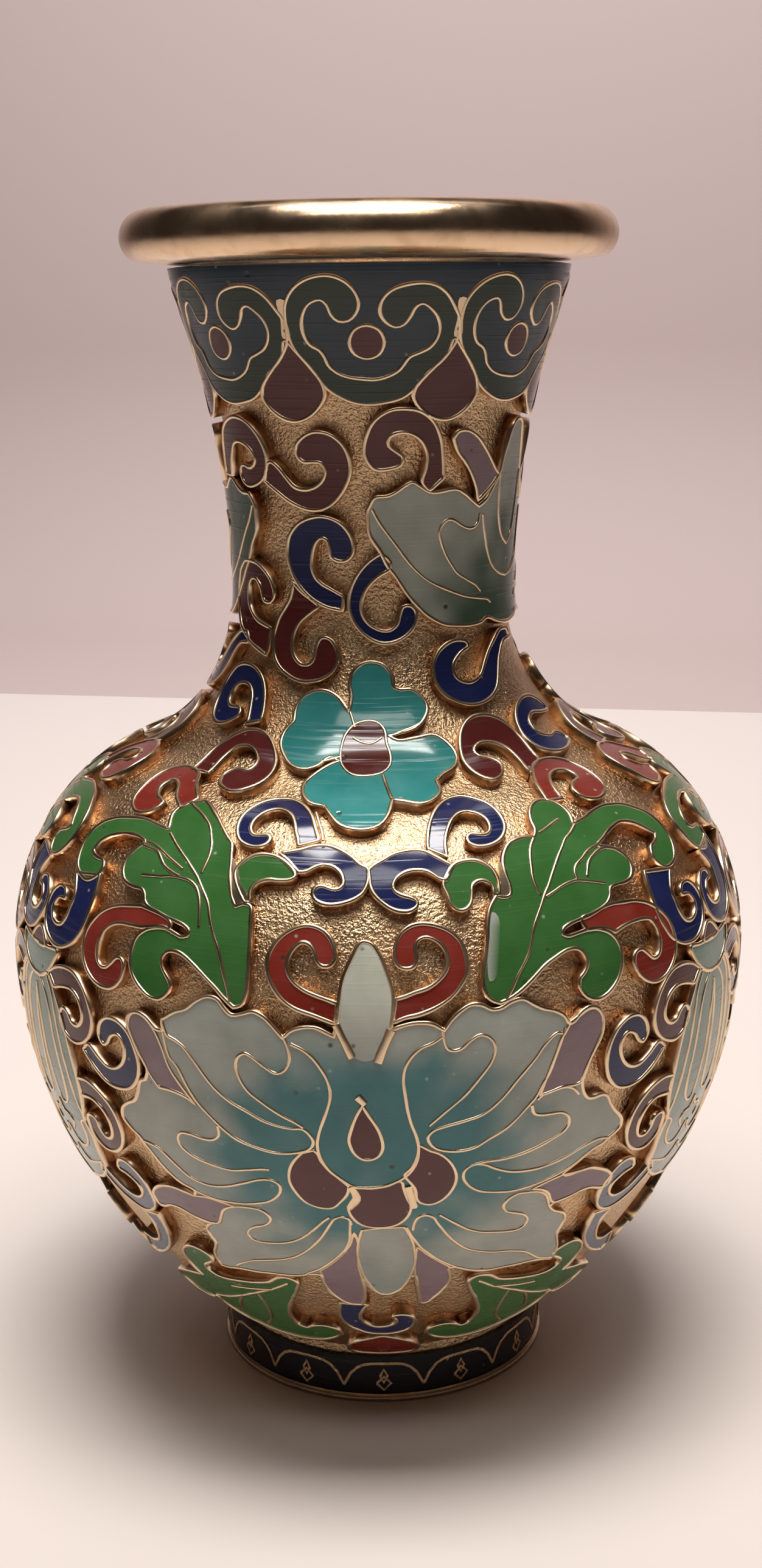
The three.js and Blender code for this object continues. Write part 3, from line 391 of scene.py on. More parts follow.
SHOULDER_RED_LEFT = """
-8.2,-18.6c -9,-17.8 -9.8,-16.9 -11,-16.7 -11.9,-17.4 -12,-18.6 -11.6,-19.6 -10.8,-20 -10,-19.7
-9.8,-19.2 -10.4,-19 -10.9,-18.4 -10.6,-17.8 -10,-18 -9.4,-18.7 -8.6,-19.3c
"""
SHOULDER_MAROON_RIGHT = """
9.6,-16c 9.7,-14.2 9.2,-12.9 8,-12.2 6.8,-12.2 5.8,-12.9 5.2,-14.1 5,-15.4 5.4,-16.5 6,-16.9
6.7,-16.5 7,-15.8 6.6,-15.3 6,-15 5.9,-14.6 6.5,-14.1 7.4,-14.2 8.1,-14.8 8.3,-15.6 8.2,-16.8c
"""
SHOULDER_RED_RIGHT = """
7.6,-18.9c 7.9,-17.6 8.8,-16.4 10,-16.1 11,-16.6 11.5,-17.8 11.3,-18.9 10.4,-19.4 9.6,-19.2
9.4,-18.6 9.8,-18.2 10.4,-18 10.4,-17.4 9.8,-17.1 9,-17.4 8.5,-18.2 8.4,-19c
"""
NECK_SCROLL_A = """
-14,7.2c -13.8,8 -13.3,9 -12.7,9.75 -11.9,9.95 -11,9.75 -10.4,9.3 -10.15,8.7 -10.4,8.15 -11,7.95
-11.7,8.1 -12.2,7.9 -12.35,7.3 -12,6.7 -11.3,6.45 -10.4,6.6 -9.5,7.1 -9,7.9 -8.8,9 -9.1,10 -9.8,11
-10.8,11.6 -12,11.8 -13.2,11.5 -14.2,10.8 -14.9,9.7 -15.3,8.4 -15.5,7.2c
"""
NECK_SCROLL_B = """
-8.7,8.4 -9.1,7.7 -9.3,6.95c -8,6.1 -6.6,5.3 -5.2,4.8 -4,4.9 -3,5.5 -2.2,6.5 -1.7,7.8 -1.75,9.1
-2.3,10.1 -3.2,10.75 -4.3,10.85 -5.3,10.4 -5.9,9.7 -5.8,9 -5.3,8.6 -4.6,8.6 -3.9,8.5 -3.6,8 -3.8,7.3
-4.4,6.7 -5.3,6.4 -6.3,6.6 -7.1,7.3 -7.8,8.1 -8.4,8.5
"""
NECK_SCROLL_C = """
0.2,8 -0.5,9.2 -0.4,10.4 0.1,11.5 1.2,12.3 2.4,12.5 3.6,12.3 4.6,11.5 5.3,10.4 5.6,9 5.8,7.2c
4.6,6.2c 4,7 4.2,8 4.3,9.2 3.8,10.2 3,10.7 2,10.75 1.3,10.4 1.3,9.8 1.9,9.3 2.4,8.9 2.2,8.3 1.4,8
"""
NECK_NAVY_C = """
-7,2.9 -7.4,2.2 -7.5,1 -7.2,-0.2 -6.6,-1.2 -5.8,-2.1 -4.8,-2.8 -3.8,-3.2 -2.6,-3.4c -2.5,-2.2c
-3.4,-1.7 -4.3,-1.2 -4.9,-0.6 -5.2,0.3 -5.1,1.3 -4.8,2.1 -4.3,2.55 -3.8,2.4 -3.6,1.7 -3.5,1 -3,0.7
-2.3,0.7 -1.8,1.1 -1.6,1.9 -1.8,2.8 -2.4,3.6 -3.2,4.1 -4.2,4.3 -5.3,4.1 -6.3,3.6
"""
NECK_NAVY_D = """
0.6,1.3c -0.5,0.5 -1.4,-0.6 -2,-2 -2,-3.3 -1.5,-4.5 -0.6,-5.5 0.6,-6.05 1.9,-5.9 2.9,-5.3 3.5,-4.5
3.6,-3.6 3.1,-3.05 2.5,-3.1 2.2,-3.7 1.9,-4.6 1.3,-5.05 0.5,-5 -0.4,-4.5 -0.95,-3.6 -1,-2.6
-0.5,-1.5 0.4,-0.6 1.3,-0.1c 1.4,0.6
"""
NECK_MAROON_E = """
-13.2,0.1 -12.4,0.2 -11.4,0.1 -10.4,-0.4 -9.6,-1.1 -9.2,-1.9 -9.2,-2.6 -9.6,-3.1 -10.1,-3.15
-10.5,-3 -10.7,-2.4 -11,-1.7 -11.5,-1.25 -12.1,-1.3 -12.6,-1.8 -12.8,-2.6 -12.7,-3.5 -12.2,-4.2
-11.4,-4.7 -10.4,-5 -9.4,-5.2c -9.6,-7.5c -10.4,-7.2 -11.8,-6.7 -13,-6.1 -14,-5.4 -14.6,-4.4
-14.9,-3.2 -14.7,-1.9 -14.2,-0.8 -13.6,-0.2
"""
NECK_MAROON_F = """
-7,-1.2c -6.2,-2 -5.3,-2.6 -4.6,-3.1c -5.6,-3.8 -6.4,-4.5 -6.9,-5.4 -7,-6.5 -6.6,-7.4 -5.9,-7.9
-5.2,-7.8 -4.9,-7.2 -4.8,-6.4 -4.4,-5.7 -3.7,-5.7 -3.1,-6.3 -2.9,-7.2 -3.2,-8.2 -4.1,-8.9 -5.4,-9.2
-6.8,-8.9 -8,-8.2 -8.8,-7.2 -9,-6 -8.9,-5.3 -8.6,-4.4 -8,-3.5 -7.4,-2.6
"""
NECK_NAVY_G = """
-8.2,-12.4c -8.4,-11.4 -8.9,-10.2 -9.6,-9.2 -10.6,-8.6 -11.8,-8.4 -13,-8.8 -13.8,-9.7 -14.1,-10.8
-13.8,-12 -13,-12.9 -12,-13.2 -11,-12.9 -10.4,-12.3 -10.6,-11.8 -11.8,-11.8 -12.3,-11.4 -12.4,-10.8
-12.1,-10.2 -11.4,-9.9 -10.6,-10 -10,-10.6 -9.6,-11.6 -9.2,-12.8c
"""
NECK_NAVY_H = """
8,-6.4 6.8,-6.2 5.6,-6.7 4.8,-7.8 4.7,-9.1 5.2,-10.2 6.2,-11 7.6,-11.3 9,-11 10.2,-10.2 11,-9
11.6,-8 12.6,-7 14,-6.7c 13.6,-5.9c 12.4,-6 11.4,-6.6 10.4,-7.4 9.6,-8.3 8.8,-9.2 7.6,-9.6 6.6,-9.2
6.4,-8.2 7.4,-7.2 8.2,-6.8
"""
NECK_NAVY_I = """
14.6,-13 14.3,-12.2 13.4,-11.6 12.2,-11.6 11,-12.2 10.3,-13.2 10.1,-14.4 10.6,-15.4 11.6,-15.9
12.8,-15.8 13.6,-15.3 13.2,-14.6 12.2,-14.7 11.4,-14.2 11.5,-13.3 12.4,-12.8 13.6,-13
"""
# The left half of the half-open flower on the neck; the other half is mirrored about its axis.
NECK_FLOWER_HALF = """
14,11.4 13.2,11 12.6,9.6 12,7.4c 11.2,6.2 10.4,5.2 9.5,4.7c 8.8,5.2 8,5.8 7.2,6.2 6.4,6.2 5.4,6.05
4.6,6.1 3.8,6.6 3.2,6.95 2.6,6.7 1.9,6.2 1.2,5.9 0.2,5.8 -0.4,4.8c -0.2,2.8 0.6,1.5 1.2,0.2 1.8,-0.6
2.6,-1.8 3.6,-3 4.6,-4 5.8,-4.7 7.2,-5 8.8,-5.1 10,-5 10.8,-4.7 12.2,-5.2 14,-5.4
"""
NECK_FLOWER_LILAC = """
6.4,10.2c 6.8,10.7 7.6,10.75 8.6,10.3 9.6,9.4 10.4,8.5 11.2,7.6 11.8,7.1c 10.8,6.2 9.4,5.2c 9.2,6
8.8,6.8 8.3,7.6 7.6,8.5 6.9,9.2
"""
NECK_FLOWER_WIRES = (
    """9.7,4.1 9.6,3.5 9.1,3 8.4,2.95 7.6,3.3 7,3.7 6.4,3.85 5.9,3.5 5.6,2.9 5.8,2 6.2,1.1 6.8,0.1
    7.4,-0.7 8.4,-1.3 9.4,-1.8 10.1,-2.4""",
    "0,4.9 0.7,3.6 1.6,2.4 2.6,1 3.4,0 4.4,-0.9 5.6,-1.6 7,-2.2 8.4,-2.7 10,-3 11,-3.2 11.4,-3.5",
    "10.1,4 10.3,3 10.6,1.8 10.8,1 11.6,-0.4 12.8,-1.2 14,-1.5",
    "12,7.2 12.1,5.6 12.4,3.6 13,2 14,1.2",
)
RUYI_HEAD = """
-0.1,12.85 -1.3,13.05 -2.4,13.6 -3.1,14.2 -3.6,14.9 -4.2,15.7 -4.9,16.6 -5.25,17.5 -5.35,18.6
-5.2,19.5 -4.7,20.3 -4,20.85 -3.1,21.15 -2.2,21.15 -1.4,20.8 -0.85,20.2 -0.65,19.5 -0.85,18.9
-1.3,18.5 -1.9,18.5 -2.3,18.9 -2.55,19.5 -2.9,19.8 -3.5,19.65 -4,19.2 -4.3,18.5 -4.25,17.7 -3.9,17
-3.3,16.6 -3,16.1 -2.8,15.6 -2.2,15.1 -1.4,14.8 -0.5,14.65 0.4,14.6 1.2,14.8 1.9,15.2 2.3,15.7
2.6,16.1 3.3,16.4 3.9,16.7 4.35,17.3 4.5,18 4.3,18.7 3.8,19.2 3.2,19.5 2.8,19.3 2.5,18.7 2.1,18.2
1.6,18.05 1,18.4 0.65,19 0.75,19.7 1.3,20.3 2.1,20.6 3,20.7 3.9,20.55 4.8,20 5.4,19.2 5.8,18.3
5.75,17.2 5.3,16.4 4.6,15.6 3.9,15.1 3.5,14.5 3,13.9 2.2,13.3 1,12.95
"""
RUYI_FIELD = """
-5.5,21.9c -5.55,19 -5.4,17 -4.3,15.8 -3.2,14.4 -2,13.3 0,12.9 2,13.2 3.4,14.4 4.6,15.6 5.6,17
5.7,19 5.7,21.9c
"""
RUYI_DOT = "-0.2,18.2 0.58,17.88 0.9,17.1 0.58,16.32 -0.2,16 -0.98,16.32 -1.3,17.1 -0.98,17.88"
RUYI_BRIDGE = "-5.7,19.8 -5.2,19.8 -5.25,18.6 -5.2,17.4 -5.7,17.4 -5.65,18.6"
COLLAR_DROP = """
-5.65,17.3 -6,16.3 -6.85,15.4 -7.55,14.7 -8.05,14.1 -8.2,13.4 -7.5,12.4 -6.5,11.8 -5.5,11.65 -4.5,12
-3.7,12.7 -3.2,13.6 -3.3,14.4 -4,15.4 -4.9,16.5
"""

# ---- Colours and finishes ----


def linear(red: int, green: int, blue: int) -> tuple[float, float, float]:
    """A colour given as 0 to 255 per channel, as linear light.

    Args:
        red: Red, 0 to 255.
        green: Green, 0 to 255.
        blue: Blue, 0 to 255.

    Returns:
        The three linear channels, 0 to 1.
    """
    channels = []
    for value in (red, green, blue):
        share = value / 255
        channels.append(share / 12.92 if share <= 0.04045 else ((share + 0.055) / 1.055) ** 2.4)
    return tuple(channels)


class Glass(Enum):
    """The enamels, by the record's material slot and their colour."""

    WHITE = ("enamel_white", linear(178, 182, 172))
    CELADON = ("enamel_celadon", linear(140, 160, 146))
    TURQUOISE = ("enamel_turquoise", linear(66, 144, 142))
    GREEN = ("enamel_green", linear(66, 112, 60))
    DARK_GREEN = ("enamel_dark_green", linear(40, 56, 42))
    NAVY = ("enamel_navy", linear(38, 44, 86))
    RED = ("enamel_red", linear(136, 58, 50))
    MAROON = ("enamel_maroon", linear(92, 42, 40))
    SLATE = ("enamel_slate", linear(44, 58, 72))
    LILAC = ("enamel_lilac", linear(146, 124, 130))
    PALE_BLUE = ("enamel_pale_blue", linear(128, 134, 152))
    BLACK = ("enamel_black", linear(20, 22, 34))

    @property
    def slot(self) -> str:
        """The name of the record's material slot."""
        return self.value[0]

    @property
    def colour(self) -> tuple[float, float, float]:
        """The enamel's colour in linear light."""
        return self.value[1]


class Metal(Enum):
    """The gilt finishes, by the record's material slot."""

    GROUND = "gilt_ground"
    WIRE = "wire"
    POLISHED = "gilt"


Value = Union[bpy.types.NodeSocket, float, Sequence[float], str]


class Tree:
    """A node tree, and a short way to add nodes to it."""

    def __init__(self, tree: bpy.types.NodeTree) -> None:
        """Keeps the tree."""
        self.tree = tree

    def feed(self, target: bpy.types.NodeSocket, value: Value) -> None:
        """Links an input to a socket, or sets it to a value.

        Args:
            target: The socket.
            value: An output to link, or a plain value.
        """
        if isinstance(value, bpy.types.NodeSocket):
            self.tree.links.new(value, target)
        else:
            target.default_value = value

    def node(
        self, kind: str, inputs: Optional[dict[Union[str, int], Value]] = None, **settings: object
    ) -> bpy.types.Node:
        """Adds a node.

        Args:
            kind: The node's type.
            inputs: What its inputs are fed, by their label or place.
            settings: The node's own settings.

        Returns:
            The new node.
        """
        made = self.tree.nodes.new(kind)
        for label, value in settings.items():
            setattr(made, label, value)
        for label, value in (inputs or {}).items():
            self.feed(made.inputs[label], value)
        return made

    def maths(self, operation: str, first: Value, second: Value) -> bpy.types.NodeSocket:
        """Works out one value from two by a Math node's operation."""
        return self.node("ShaderNodeMath", {0: first, 1: second}, operation=operation).outputs[0]


class Nodes(Tree):
    """A material's nodes: one shader, and patterns on the object's own coordinates."""

    FIRST, SECOND, MIXED = 6, 7, 2  # the colour sockets of a Mix node

    def __init__(self, material: bpy.types.Material) -> None:
        """Clears the material and adds its shader.

        Args:
            material: The material to build.
        """
        material.use_nodes = True
        material.node_tree.nodes.clear()
        super().__init__(material.node_tree)
        self.shader = self.node("ShaderNodeBsdfPrincipled")
        self.node("ShaderNodeOutputMaterial", {"Surface": self.shader.outputs["BSDF"]})
        self.place = self.node("ShaderNodeTexCoord").outputs["Object"]

    def set(self, label: str, value: Value) -> None:
        """Feeds one of the shader's inputs, a colour without its alpha."""
        colour = label == "Base Color" and not isinstance(value, bpy.types.NodeSocket)
        self.feed(self.shader.inputs[label], (*value, 1) if colour else value)

    def stretched(self, scale: Sequence[float]) -> bpy.types.NodeSocket:
        """The object's coordinates scaled along each axis."""
        inputs = {"Scale": scale, "Vector": self.place}
        return self.node("ShaderNodeMapping", inputs).outputs["Vector"]

    def cloud(
        self, scale: float, detail: float = 2.0, place: Optional[bpy.types.NodeSocket] = None
    ) -> bpy.types.NodeSocket:
        """A noise pattern."""
        inputs = {"Scale": scale, "Detail": detail, "Vector": place or self.place}
        return self.node("ShaderNodeTexNoise", inputs).outputs["Fac"]

    def spots(self, scale: float) -> bpy.types.NodeSocket:
        """How far each place is from the nearest of scattered points, for pits and specks."""
        inputs = {"Scale": scale, "Vector": self.place}
        return self.node("ShaderNodeTexVoronoi", inputs).outputs["Distance"]

    def ramp(
        self, source: bpy.types.NodeSocket, stops: Sequence[tuple[float, float]]
    ) -> bpy.types.NodeSocket:
        """A value remapped through grey stops.

        Args:
            source: The value to remap.
            stops: Pairs of place and value, in order.

        Returns:
            The remapped value's socket.
        """
        made = self.node("ShaderNodeValToRGB", {"Fac": source})
        elements = made.color_ramp.elements
        while len(elements) < len(stops):
            elements.new(0.5)
        for element, (where, value) in zip(elements, stops):
            element.position = where
            element.color = (value, value, value, 1)
        return made.outputs["Color"]

    def mix(
        self, share: bpy.types.NodeSocket, first: Value, second: Value
    ) -> bpy.types.NodeSocket:
        """A colour between two.

        Args:
            share: How much of the second colour there is.
            first: A colour, as a socket or as three numbers.
            second: The other colour, given in the same way.

        Returns:
            The mixed colour's socket.
        """
        made = self.node("ShaderNodeMix", {"Factor": share}, data_type="RGBA")
        for place, value in ((self.FIRST, first), (self.SECOND, second)):
            linked = isinstance(value, bpy.types.NodeSocket)
            self.feed(made.inputs[place], value if linked else (*value, 1))
        return made.outputs[self.MIXED]

    def times(self, first: Value, second: Value) -> bpy.types.NodeSocket:
        """Multiplies two values."""
        return self.maths("MULTIPLY", first, second)

    def bump(self, height: bpy.types.NodeSocket, distance: float, strength: float = 1.0) -> None:
        """Raises the surface by a height pattern, on top of any bump already there.

        Args:
            height: The pattern.
            distance: The height of its full value, in metres.
            strength: How much of it shows.
        """
        inputs = {"Distance": distance, "Strength": strength, "Height": height}
        normal = self.shader.inputs["Normal"]
        if normal.is_linked:
            inputs["Normal"] = normal.links[0].from_socket
        self.set("Normal", self.node("ShaderNodeBump", inputs).outputs["Normal"])

    def attribute(self, name: str, output: str) -> bpy.types.NodeSocket:
        """An output of one of the mesh's attributes."""
        return self.node("ShaderNodeAttribute", attribute_name=name).outputs[output]


class Finish(ABC):
    """What every finish has in common: its material is built once, and found by its name."""

    @property
    @abstractmethod
    def slot(self) -> str:
        """The name of the record's material slot."""

    @abstractmethod
    def dress(self, nodes: Nodes) -> None:
        """Builds the shader in a new material's nodes."""

    def made(self) -> bpy.types.Material:
        """Builds the material, or finds it if it is there.

        Returns:
            The material.
        """
        name = f"{self.slot}_finish"
        if name not in bpy.data.materials:
            self.dress(Nodes(bpy.data.materials.new(name)))
        return bpy.data.materials[name]


@dataclass(frozen=True)
class Enamel(Finish):
    """Polished enamel, with fine pits, pale specks and grinding scratches.

    Its colour comes from the mesh's glaze attribute, so one cell can run into another colour.
    """

    glass: Glass
    speck: tuple[float, float, float] = (0.5, 0.55, 0.45)
    specks_per_metre: float = 620
    pit: tuple[float, float, float] = (0.03, 0.03, 0.035)
    pits_per_metre: float = 430
    pit_depth: float = 0.00005
    pit_darkness: float = 0.85
    mottles_per_metre: float = 340
    scratch_stretch: tuple[float, float, float] = (90, 90, 5200)
    scratch_depth: float = 0.000012
    ripple_depth: float = 0.00012
    polish: float = 0.1  # the roughness between scratches
    scratch_roughness: float = 0.22  # what a scratch adds to it
    index: float = 1.52  # of refraction

    @property
    def slot(self) -> str:
        """The name of the record's material slot."""
        return self.glass.slot

    def dress(self, nodes: Nodes) -> None:
        """Builds the shader in a new material's nodes.

        Args:
            nodes: The material's nodes.
        """
        nodes.set("Base Color", self.glass.colour)
        nodes.set("IOR", self.index)
        glaze = nodes.attribute("glaze", "Color")
        mottle = nodes.ramp(nodes.cloud(self.mottles_per_metre, 4), ((0.3, 0.0), (0.72, 1.0)))
        shade = {"Value": 0.8, "Saturation": 1.08, "Color": glaze}
        darker = nodes.node("ShaderNodeHueSaturation", shade).outputs["Color"]
        colour = nodes.mix(mottle, darker, glaze)
        specks = nodes.spots(self.specks_per_metre)
        few = nodes.ramp(nodes.cloud(150, 1), ((0.46, 0.0), (0.56, 0.5)))
        speck_shape = nodes.ramp(specks, ((0.05, 1.0), (0.11, 0.0)))
        colour = nodes.mix(nodes.times(speck_shape, few), colour, self.speck)
        pits = nodes.spots(self.pits_per_metre)
        some = nodes.ramp(nodes.cloud(210, 1), ((0.5, 0.0), (0.57, 1.0)))
        pit_shape = nodes.ramp(pits, ((0.06, 1.0), (0.12, 0.0)))
        pitted = nodes.times(pit_shape, some)
        colour = nodes.mix(nodes.times(pitted, self.pit_darkness), colour, self.pit)
        nodes.set("Base Color", colour)
        scratches = nodes.cloud(1.0, 2, nodes.stretched(self.scratch_stretch))
        lines = nodes.ramp(scratches, ((0.56, 0.0), (0.66, 1.0)))
        rough = nodes.ramp(lines, ((0.0, self.polish), (1.0, self.polish + self.scratch_roughness)))
        nodes.set("Roughness", rough)
        nodes.bump(nodes.cloud(120, 2), self.ripple_depth, 0.5)
        nodes.bump(lines, self.scratch_depth, 0.35)
        nodes.bump(nodes.times(pitted, -1), self.pit_depth, 0.8)


@dataclass(frozen=True)
class Gilt(Finish):
    """Gilt copper. Where the gold is thin or has pooled it turns to brown copper."""

    metal: Metal
    gold: tuple[float, float, float] = (0.83, 0.6, 0.33)
    copper: tuple[float, float, float] = (0.36, 0.17, 0.08)
    roughness: float = 0.27
    grain: float = 0.0  # depth of the stippling
    wear: float = 0.3  # how much copper shows
    sides: bool = False  # the deep sides of a wire are painted darker towards copper brown, a painted shade down the walls between cells
    tool_marks: float = 0.00004  # depth of the marks on smooth gilt

    @property
    def slot(self) -> str:
        """The name of the record's material slot."""
        return self.metal.value

    def dress(self, nodes: Nodes) -> None:
        """Builds the shader in a new material's nodes.

        Args:
            nodes: The material's nodes.
        """
        nodes.set("Base Color", self.gold)
        nodes.set("Metallic", 1.0)
        worn = nodes.ramp(nodes.cloud(520, 5), ((0.5, 0.0), (0.8, 1.0)))
        colour = nodes.mix(nodes.times(worn, self.wear), self.gold, self.copper)
        if self.sides:
            # Painted shade: the deeper down a wire's side, the more it is darkened to copper brown.
            depth = nodes.attribute("deep", "Fac")  # millimetres under the wire's top
            deep = nodes.ramp(depth, ((0.12, 0.0), (0.3, 0.85), (0.8, 1.0)))
            patchy = nodes.ramp(nodes.cloud(700, 3), ((0.35, 1.0), (0.75, 0.45)))
            colour = nodes.mix(nodes.times(deep, patchy), colour, self.copper)
        if self.grain:
            fine = nodes.cloud(6500, 3)
            lumps = nodes.ramp(nodes.cloud(3200, 2), ((0.3, 0.0), (0.7, 1.0)))
            pooled = nodes.ramp(fine, ((0.32, 1.0), (0.5, 0.0)))
            colour = nodes.mix(nodes.times(pooled, 0.4), colour, self.copper)
            nodes.bump(fine, self.grain, 0.75)
            nodes.bump(lumps, self.grain, 0.5)
        else:
            nodes.bump(nodes.cloud(900, 4), self.tool_marks, 0.5)
        nodes.set("Base Color", colour)
        smooth, dull = self.roughness - 0.06, self.roughness + 0.14
        rough = nodes.ramp(nodes.cloud(260, 4), ((0.3, smooth), (0.75, dull)))
        nodes.set("Roughness", rough)


@dataclass(frozen=True)
class CounterEnamel(Finish):
    """The blue enamel inside the vase and under its base, left as it came from the kiln."""

    slot: str = "counter_enamel"
    colour: tuple[float, float, float] = linear(46, 118, 138)
    dark: tuple[float, float, float] = linear(28, 78, 100)
    roughness: float = 0.3
    ripple_depth: float = 0.0002

    def dress(self, nodes: Nodes) -> None:
        """Builds the shader in a new material's nodes.

        Args:
            nodes: The material's nodes.
        """
        nodes.set("Base Color", self.colour)
        mottle = nodes.ramp(nodes.cloud(420, 5), ((0.35, 0.0), (0.7, 1.0)))
        nodes.set("Base Color", nodes.mix(mottle, self.colour, self.dark))
        nodes.set("Roughness", self.roughness)
        nodes.bump(nodes.cloud(380, 3), self.ripple_depth, 0.7)


GILT_GROUND = Gilt(
    Metal.GROUND, gold=(0.76, 0.53, 0.31), roughness=0.3, grain=0.00011, wear=0.45
)
GILT_WIRE = Gilt(Metal.WIRE, gold=(0.8, 0.62, 0.42), roughness=0.26, wear=0.25, sides=True)
GILT_POLISHED = Gilt(Metal.POLISHED, gold=(0.78, 0.56, 0.37), roughness=0.22, wear=0.35)
COUNTER_ENAMEL = CounterEnamel()

# ---- The wall ----


@dataclass
class Wall:
    """The outline of the enamel's surface, from the foot to the mouth. Lengths in metres."""

    foot_radius: float
    foot_height: float
    belly_radius: float
    seam_height: float
    mouth_height: float
    relief: float = 0.9 * MM
    belly_height: float = 38.9 * MM
    shoulder: tuple[float, float] = (20.6 * MM, 56.1 * MM)
    shoulder_slope: float = 21.0
    neck: tuple[float, float] = (12.06 * MM, 69.6 * MM)
    mouth_radius: float = 16.6 * MM
    foot_slope: float = 31.5  # degrees of each end of the outline
    mouth_slope: float = 83.0
    foot_pull: float = 3 * MM
    bowl_pull: float = 0.56  # how far each curve is drawn straight on, as a share of its reach
    shoulder_pull: float = 0.34
    bend_pull: float = 0.79
    throat_pull: float = 0.4
    flare_pull: float = 0.57
    mouth_pull: float = 0.11
    steps: int = 48
    end_gap: float = 0.1 * MM  # the least step of an outline's cut ends
    radii: np.ndarray = field(init=False)
    heights: np.ndarray = field(init=False)
    outward: np.ndarray = field(init=False)
    turn: np.ndarray = field(init=False)

    def __post_init__(self) -> None:
        """Samples the outline, and how far it has run at each height."""
        points = np.vstack([curve[min(i, 1) :] for i, curve in enumerate(self.curves())])
        self.radii, self.heights = points[:, 0], points[:, 1]
        along = np.gradient(points, axis=0)
        along /= np.linalg.norm(along, axis=1)[:, None]
        self.outward = np.column_stack([along[:, 1], -along[:, 0]])
        step = np.linalg.norm(np.diff(points, axis=0), axis=1)
        middle = (self.radii[1:] + self.radii[:-1]) / 2
        self.turn = np.concatenate([[0], np.cumsum(step / middle)])

    @classmethod
    def from_frame(cls) -> "Wall":
        """Reads the wall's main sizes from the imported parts.

        Returns:
            The wall.
        """
        foot_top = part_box("foot_enamel_band")[1]
        return cls(
            foot_radius=foot_top.x,
            foot_height=foot_top.z,
            belly_radius=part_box("body_shell")[1].x + cls.relief,
            seam_height=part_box("neck_shell")[0].z,
            mouth_height=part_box("neck_shell")[1].z,
        )

    def curves(self) -> list[np.ndarray]:
        """Draws the outline.

        Returns:
            Its four curves: bowl, shoulder, throat and flare.
        """

        def away(point: Sequence[float], length: float, degrees: float) -> tuple[float, float]:
            """A point some way from another, in a direction."""
            angle = math.radians(degrees)
            return point[0] + length * math.cos(angle), point[1] + length * math.sin(angle)

        def bend(*points: Sequence[float]) -> np.ndarray:
            """A cubic curve.

            Args:
                points: One end, the two points that pull it, and the other end.

            Returns:
                Points along the curve.
            """
            a, b, c, d = (np.array(point) for point in points)
            t = np.linspace(0, 1, self.steps + 1)[:, None]
            return a * (1 - t) ** 3 + 3 * b * t * (1 - t) ** 2 + 3 * c * t**2 * (1 - t) + d * t**3

        foot = (self.foot_radius, self.foot_height)
        belly = (self.belly_radius, self.belly_height)
        mouth = (self.mouth_radius, self.mouth_height)
        bowl_rise = self.belly_height - self.foot_height
        shoulder_rise = self.shoulder[1] - self.belly_height
        throat_rise = self.neck[1] - self.shoulder[1]
        flare_rise = self.mouth_height - self.neck[1]
        below_reach = self.bend_pull * (self.belly_radius - self.shoulder[0])
        above_reach = self.bend_pull * (self.shoulder[0] - self.neck[0])
        below = away(self.shoulder, below_reach, -self.shoulder_slope)
        above = away(self.shoulder, above_reach, 180 - self.shoulder_slope)
        into_belly = away(belly, self.bowl_pull * bowl_rise, -90)
        out_of_belly = away(belly, self.shoulder_pull * shoulder_rise, 90)
        into_neck = away(self.neck, self.throat_pull * throat_rise, -90)
        out_of_neck = away(self.neck, self.flare_pull * flare_rise, 90)
        into_mouth = away(mouth, self.mouth_pull * flare_rise, self.mouth_slope - 180)
        return [
            bend(foot, away(foot, self.foot_pull, self.foot_slope), into_belly, belly),
            bend(belly, out_of_belly, below, self.shoulder),
            bend(self.shoulder, above, into_neck, self.neck),
            bend(self.neck, out_of_neck, into_mouth, mouth),
        ]

    def offset(self, depth: float, low: float, high: float) -> list[tuple[float, float]]:
        """The outline a depth under the enamel's surface, cut at two heights.

        Args:
            depth: How far under the enamel's surface, in metres.
            low: The lower height.
            high: The upper height.

        Returns:
            Points of (radius, height) from the bottom up.
        """
        radii = self.radii - depth * self.outward[:, 0]
        heights = self.heights - depth * self.outward[:, 1]
        inside = (heights > low + self.end_gap) & (heights < high - self.end_gap)
        ends = np.interp([low, high], heights, radii)
        between = list(zip(radii[inside], heights[inside]))
        return [(ends[0], low), *between, (ends[1], high)]

    def turned_at(self, height: float) -> float:
        """How far the outline has run, over its radius, at a height."""
        return float(np.interp(height, self.heights, self.turn))


@dataclass
class Sheet:
    """A flat drawing wrapped round the wall so that its shapes stay true at every height."""

    wall: Wall
    radius: float  # millimetres of drawing for one radian round the vase
    zero_height: float  # the height in metres where y is 0
    step: float  # how closely cells are meshed inside, in drawing millimetres

    def place(self, points: np.ndarray, lift: np.ndarray) -> tuple[np.ndarray, np.ndarray]:
        """Wraps drawing points onto the vase.

        Args:
            points: Rows of x and y, in drawing millimetres.
            lift: Metres above the enamel's surface, one for each point.

        Returns:
            The places and the directions out of the wall, as rows of x, y and z.
        """
        turn = points[:, 1] / self.radius + self.wall.turned_at(self.zero_height)
        radius = np.interp(turn, self.wall.turn, self.wall.radii)
        height = np.interp(turn, self.wall.turn, self.wall.heights)
        out_radius = np.interp(turn, self.wall.turn, self.wall.outward[:, 0])
        out_height = np.interp(turn, self.wall.turn, self.wall.outward[:, 1])
        angle = points[:, 0] / self.radius
        reach = radius + lift * out_radius
        sine, cosine = np.sin(angle), np.cos(angle)
        places = np.column_stack([reach * sine, -reach * cosine, height + lift * out_height])
        outward = np.column_stack([out_radius * sine, -out_radius * cosine, out_height])
        return places, outward

    @property
    def round(self) -> float:
        """The drawing's length round the whole vase."""
        return 2 * math.pi * self.radius


# ---- Lines and fields of the drawing ----

